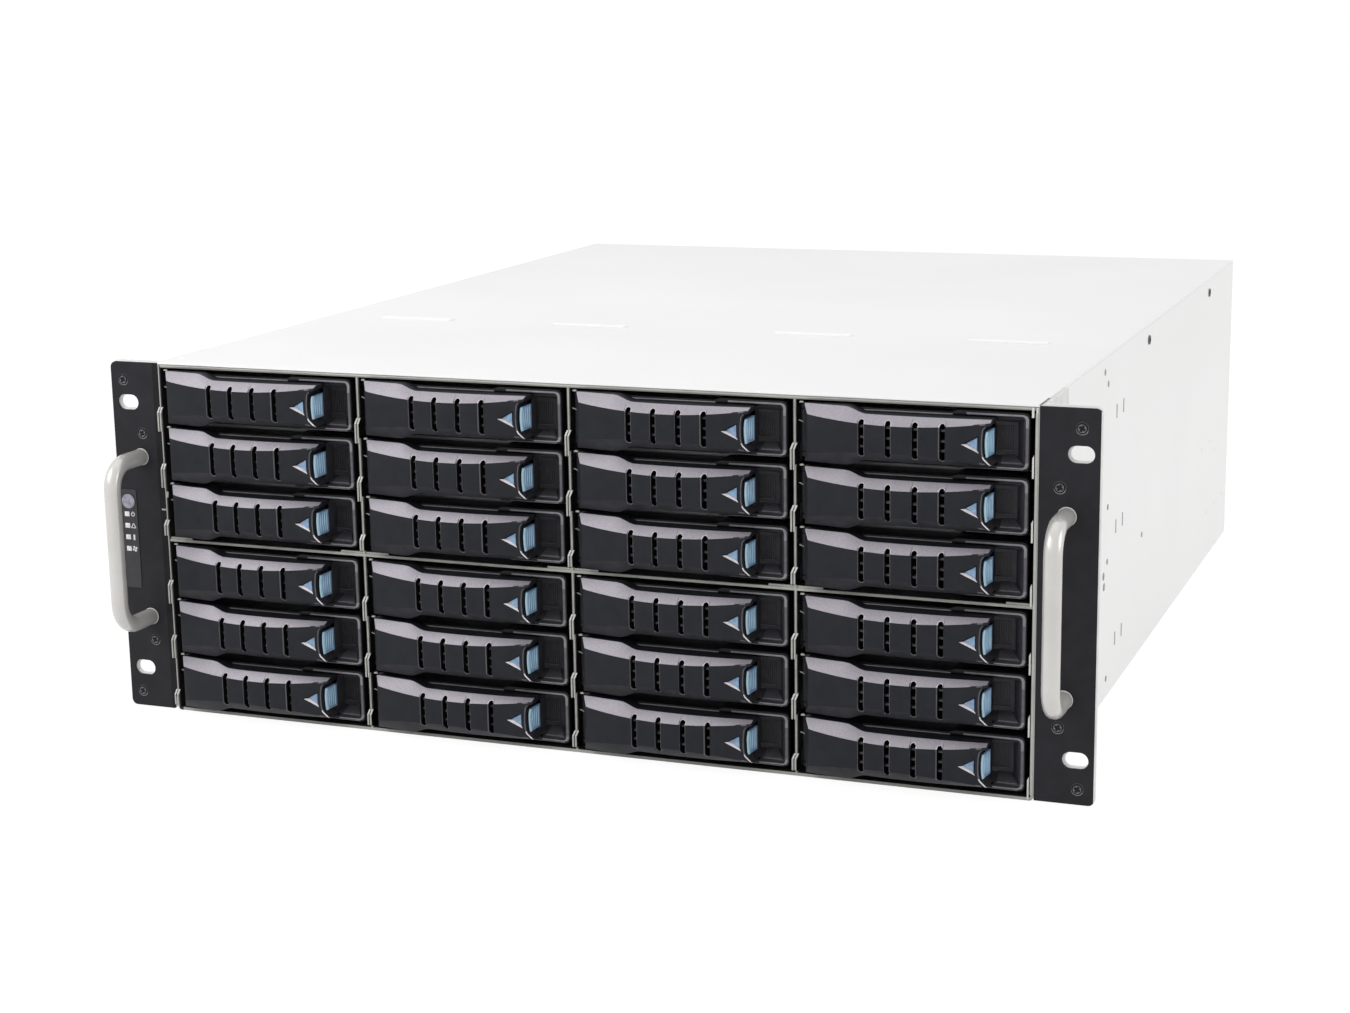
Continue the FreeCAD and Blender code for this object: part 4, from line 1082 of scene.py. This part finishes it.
rear = {"face": rearY + 1.6, "inletRise": 25.0, "inletWide": 27.0, "inletTall": 20.0, "inletDeep": 16.0,
        "pins": [(-7, -1.5), (0, 2.5), (7, -1.5)], "firstPort": 29.0, "portPitch": 26.0, "ports": 3,
        "portWide": 17.0, "portTall": 8.0, "portRise": 19.0, "knob": 5.0, "knobSides": 36, "knobOut": 41,
        "knobRise": 10, "knobEdge": 11, "lampOut": 24, "lampEdge": 26, "lampRise": 8, "ventPitch": 5.0}


def inletLiner(x, z):
    # the black shroud of the mains inlet, with a flange on the face and chamfered upper corners
    half, tall, deep, y = rear["inletWide"] / 2, rear["inletTall"] / 2, rear["inletDeep"], rear["face"]

    def outline(grow, cut):
        w, h = half + grow, tall + grow
        return [(x - w, z - h), (x + w, z - h), (x + w, z + h - cut), (x + w - cut, z + h),
                (x - w + cut, z + h), (x - w, z + h - cut)]

    bm = bmesh.new()
    faceOutline(bm, outline(-0.1, 0.5), y - deep + 0.3, deep)
    faceOutline(bm, outline(2.2, 1.5), y - 0.1, 1.6)
    hollow = bmesh.new()
    faceOutline(hollow, outline(-1.4, 4.5), y - deep + 1.6, 30)
    return settled(meshFrom(bm, socketBlack), edge=0.35, segments=2, cutters=[meshFrom(hollow, socketBlack)])


def inletPins(x, z):
    y = rear["face"]
    return softBoxes(screwZinc, 0.4, 2, *[
        ((x + across - 1.05, y - 15, z + up - 3), (x + across + 1.05, y - 3.2, z + up + 3))
        for across, up in rear["pins"]])


def knobMesh(x, z):
    # a captive thumb screw with a knurled rim
    y, tooth = rear["face"], 2 * math.pi / rear["knobSides"]
    bm = bmesh.new()
    for v in discIn(bm, (x, y + 4.2, z), rear["knob"], 6.4, sides=rear["knobSides"]):
        if round(math.atan2(v.co.z - z, v.co.x - x) / tooth) % 2:
            v.co.x, v.co.z = x + (v.co.x - x) * 0.92, z + (v.co.z - z) * 0.92
    discIn(bm, (x, y + 0.5, z), 3.6, 1.2, sides=24)
    discIn(bm, (x, y + 7.6, z), 3.4, 0.8, sides=24)
    slot = bmesh.new()
    boxIn(slot, (x - 3.6, y + 7.3, z - 0.4), (x + 3.6, y + 9, z + 0.4))
    return settled(meshFrom(bm, screwBlack), edge=0.15, segments=1, cutters=[meshFrom(slot, screwBlack)])


def portCage(x, z):
    # a bright cage lip round a cable port, with the black contact tongue inside
    half, tall, y = rear["portWide"] / 2, rear["portTall"] / 2, rear["face"]

    def room(grow, front, back):
        return (x - half - grow, front, z - tall - grow), (x + half + grow, back, z + tall + grow)

    bm = bmesh.new()
    boxIn(bm, *room(0.9, y - 0.2, y + 0.7))
    boxIn(bm, *room(-0.02, y - 13.5, y))
    hollow = bmesh.new()
    boxIn(hollow, *room(-0.7, y - 12, y + 5))
    cage = settled(meshFrom(bm, screwZinc), edge=0.2, segments=1, cutters=[meshFrom(hollow, screwZinc)])
    tongue = ((x - half + 2.4, y - 12, z - 0.8), (x + half - 2.4, y - 2.5, z + 0.8))
    return joined(cage, softBoxes(socketBlack, 0.2, 1, tongue))


def lampDots(places):
    bm = bmesh.new()
    for x, z in places:
        discIn(bm, (x, rear["face"] + 0.2, z), 1.5, 0.8, sides=20, tip=1.1)
    return softened(bm, 0.15, 2, lampGreen)


def ventHoles(x0, x1, z0, z1):
    # a field of six-sided holes, each a dark dish of painted shade just proud of the sheet
    bm = bmesh.new()
    pitch = rear["ventPitch"]
    rise = pitch * 0.866
    for r in range(int((z1 - z0) / rise) + 1):
        x = x0 + (pitch / 2 if r % 2 else 0)
        while x <= x1:
            discIn(bm, (x, rear["face"] + 0.04, z0 + r * rise), 1.9, 0.12, sides=6)
            x += pitch
    return meshFrom(bm, socketBlack)


def dressModule(node, word, parts):
    for name, mesh in parts.items():
        addPiece(name + word, mesh, node)


for word, out in sides.items():
    node = "power_module_" + word
    low, high = corners(node)
    x, z = (low.x + high.x) / 2, low.z + rear["inletRise"]
    knobs = [knobMesh(x + way * out * rear["knobOut"], low.z + rear["knobRise"]) for way in (1, -1)]
    dressModule(node, word, {
        "mains_inlet_": inletLiner(x, z), "inlet_pins_": inletPins(x, z), "thumb_screws_": joined(*knobs),
        "power_lamps_": lampDots([(x + rear["lampOut"], z + up) for up in (5, -1, -7)]),
        "side_vents_": ventHoles(x - 44, x - 24, z - 6, z + 8)})
for word in ("upper", "lower"):
    node = "expander_module_" + word
    low, high = corners(node)
    first, z = low.x + rear["firstPort"], low.z + rear["portRise"]
    ports = [first + n * rear["portPitch"] + rear["portWide"] / 2 for n in range(rear["ports"])]
    dots = [(x, z + rear["lampRise"]) for x in ports]
    dots += [(high.x - rear["lampEdge"], z + up) for up in (4, -4)]
    knobs = [knobMesh(x, z) for x in (low.x + rear["knobEdge"], high.x - rear["knobEdge"])]
    dressModule(node, word, {
        "cable_ports_": joined(*[portCage(x, z) for x in ports]), "module_screws_": joined(*knobs),
        "module_lamps_": lampDots(dots), "module_vents_": ventHoles(first + 84, high.x - 34, z - 6, z + 10)})
print("rear modules dressed")


# the solids that stay visible take their finish here
sheetFinishes = {"chassis_pan": panPaintAndPaintedLight, "top_covers": coverPaintAndPaintedLight, "module_cage": zincSheet,
                 "drive_cage": cageSheetAndPaintedShade, "backplane": boardGreen, "rack_ears": earPaint}
for name, node in nodes.items():
    mat = moduleSheet if "_module_" in name else sheetFinishes.get(name)
    if mat:
        node.data.materials.clear()
        node.data.materials.append(mat)


studio = {"floor": 0.85, "floorHalf": 6, "floorRough": 0.8, "floorGlow": 1.08, "floorShare": 0.86,
          "sky": 0.76}
lamps = {"overhead": {"place": (0.0, 0.6, 2.0), "aim": (0, 0.15, 0.1), "size": 2.2, "watts": 5.5},
         "front_fill": {"place": (-1.0, -2.2, 1.7), "aim": (0, 0, 0.08), "size": 1.6, "watts": 6},
         "upper_left": {"place": (-0.76, -0.56, 0.76), "aim": (-0.12, 0, 0.15), "size": 0.5, "watts": 3.9},
         "right_fill": {"place": (2.6, 0.2, 0.9), "aim": (0.1, 0.2, 0.08), "size": 1.4, "watts": 13}}
view = {"place": (0.43175, -0.97928, 0.34934), "ahead": (-0.35478, 0.91019, -0.21374),
        "up": (-0.06269, 0.20494, 0.97677), "lens": 64.247, "sensor": 36, "near": 0.01, "far": 30}


def backdropRay(tree):
    # 1 for what the camera sees directly, in a reflection or through glass
    path = addNode(tree, "ShaderNodeLightPath")
    total = path.outputs["Is Camera Ray"]
    for other in ("Is Glossy Ray", "Is Transmission Ray"):
        add = addNode(tree, "ShaderNodeMath", operation="MAXIMUM")
        tree.links.new(total, add.inputs[0])
        tree.links.new(path.outputs[other], add.inputs[1])
        total = add.outputs[0]
    return total


def paleFloor():
    bm = bmesh.new()
    bmesh.ops.create_grid(bm, x_segments=1, y_segments=1, size=studio["floorHalf"])
    bmesh.ops.translate(bm, verts=bm.verts, vec=(0, 1, cadBox[0].z))
    mesh = bpy.data.meshes.new("floor")
    bm.to_mesh(mesh)
    bm.free()
    mat = bpy.data.materials.new("pale_floor")
    mat.use_nodes = True
    tree = mat.node_tree
    link = tree.links.new
    shader = tree.nodes["Principled BSDF"]
    shader.inputs["Base Color"].default_value = (studio["floor"], studio["floor"], studio["floor"], 1)
    shader.inputs["Roughness"].default_value = studio["floorRough"]
    glow = addNode(tree, "ShaderNodeEmission", Strength=studio["floorGlow"])
    mix = addNode(tree, "ShaderNodeMixShader")
    part = addNode(tree, "ShaderNodeMath", operation="MULTIPLY")
    part.inputs[1].default_value = studio["floorShare"]
    link(backdropRay(tree), part.inputs[0])
    link(part.outputs[0], mix.inputs["Fac"])
    link(shader.outputs["BSDF"], mix.inputs[1])
    link(glow.outputs["Emission"], mix.inputs[2])
    link(mix.outputs["Shader"], tree.nodes["Material Output"].inputs["Surface"])
    mesh.materials.append(mat)
    floor = placed("floor", mesh)


def whiteSky():
    world = bpy.data.worlds.new("studio")
    bpy.context.scene.world = world
    world.use_nodes = True
    tree = world.node_tree
    pick = addNode(tree, "ShaderNodeMapRange")
    pick.inputs["To Min"].default_value = studio["sky"]
    pick.inputs["To Max"].default_value = 1.0
    tree.links.new(backdropRay(tree), pick.inputs["Value"])
    glow = tree.nodes["Background"]
    glow.inputs["Color"].default_value = (1, 1, 1, 1)
    tree.links.new(pick.outputs["Result"], glow.inputs["Strength"])


def studioLamp(name, place, aim, size, watts):
    data = bpy.data.lights.new(name, "AREA")
    data.energy = watts
    data.size = size
    lamp = placed(name, data)
    lamp.location = place
    lamp.rotation_euler = (Vector(aim) - Vector(place)).to_track_quat("-Z", "Y").to_euler()


def viewCamera():
    data = bpy.data.cameras.new("camera")
    data.sensor_width, data.lens = view["sensor"], view["lens"]
    data.clip_start, data.clip_end = view["near"], view["far"]
    cam = placed("camera", data)
    ahead = Vector(view["ahead"]).normalized()
    right = ahead.cross(Vector(view["up"])).normalized()
    turn = Matrix((right, right.cross(ahead), -ahead)).transposed().to_4x4()
    cam.matrix_world = Matrix.Translation(view["place"]) @ turn
    bpy.context.scene.camera = cam


paleFloor()
whiteSky()
for name, lamp in lamps.items():
    studioLamp(name, **lamp)
viewCamera()
bpy.context.scene.view_settings.view_transform = "Standard"
print("stage set")
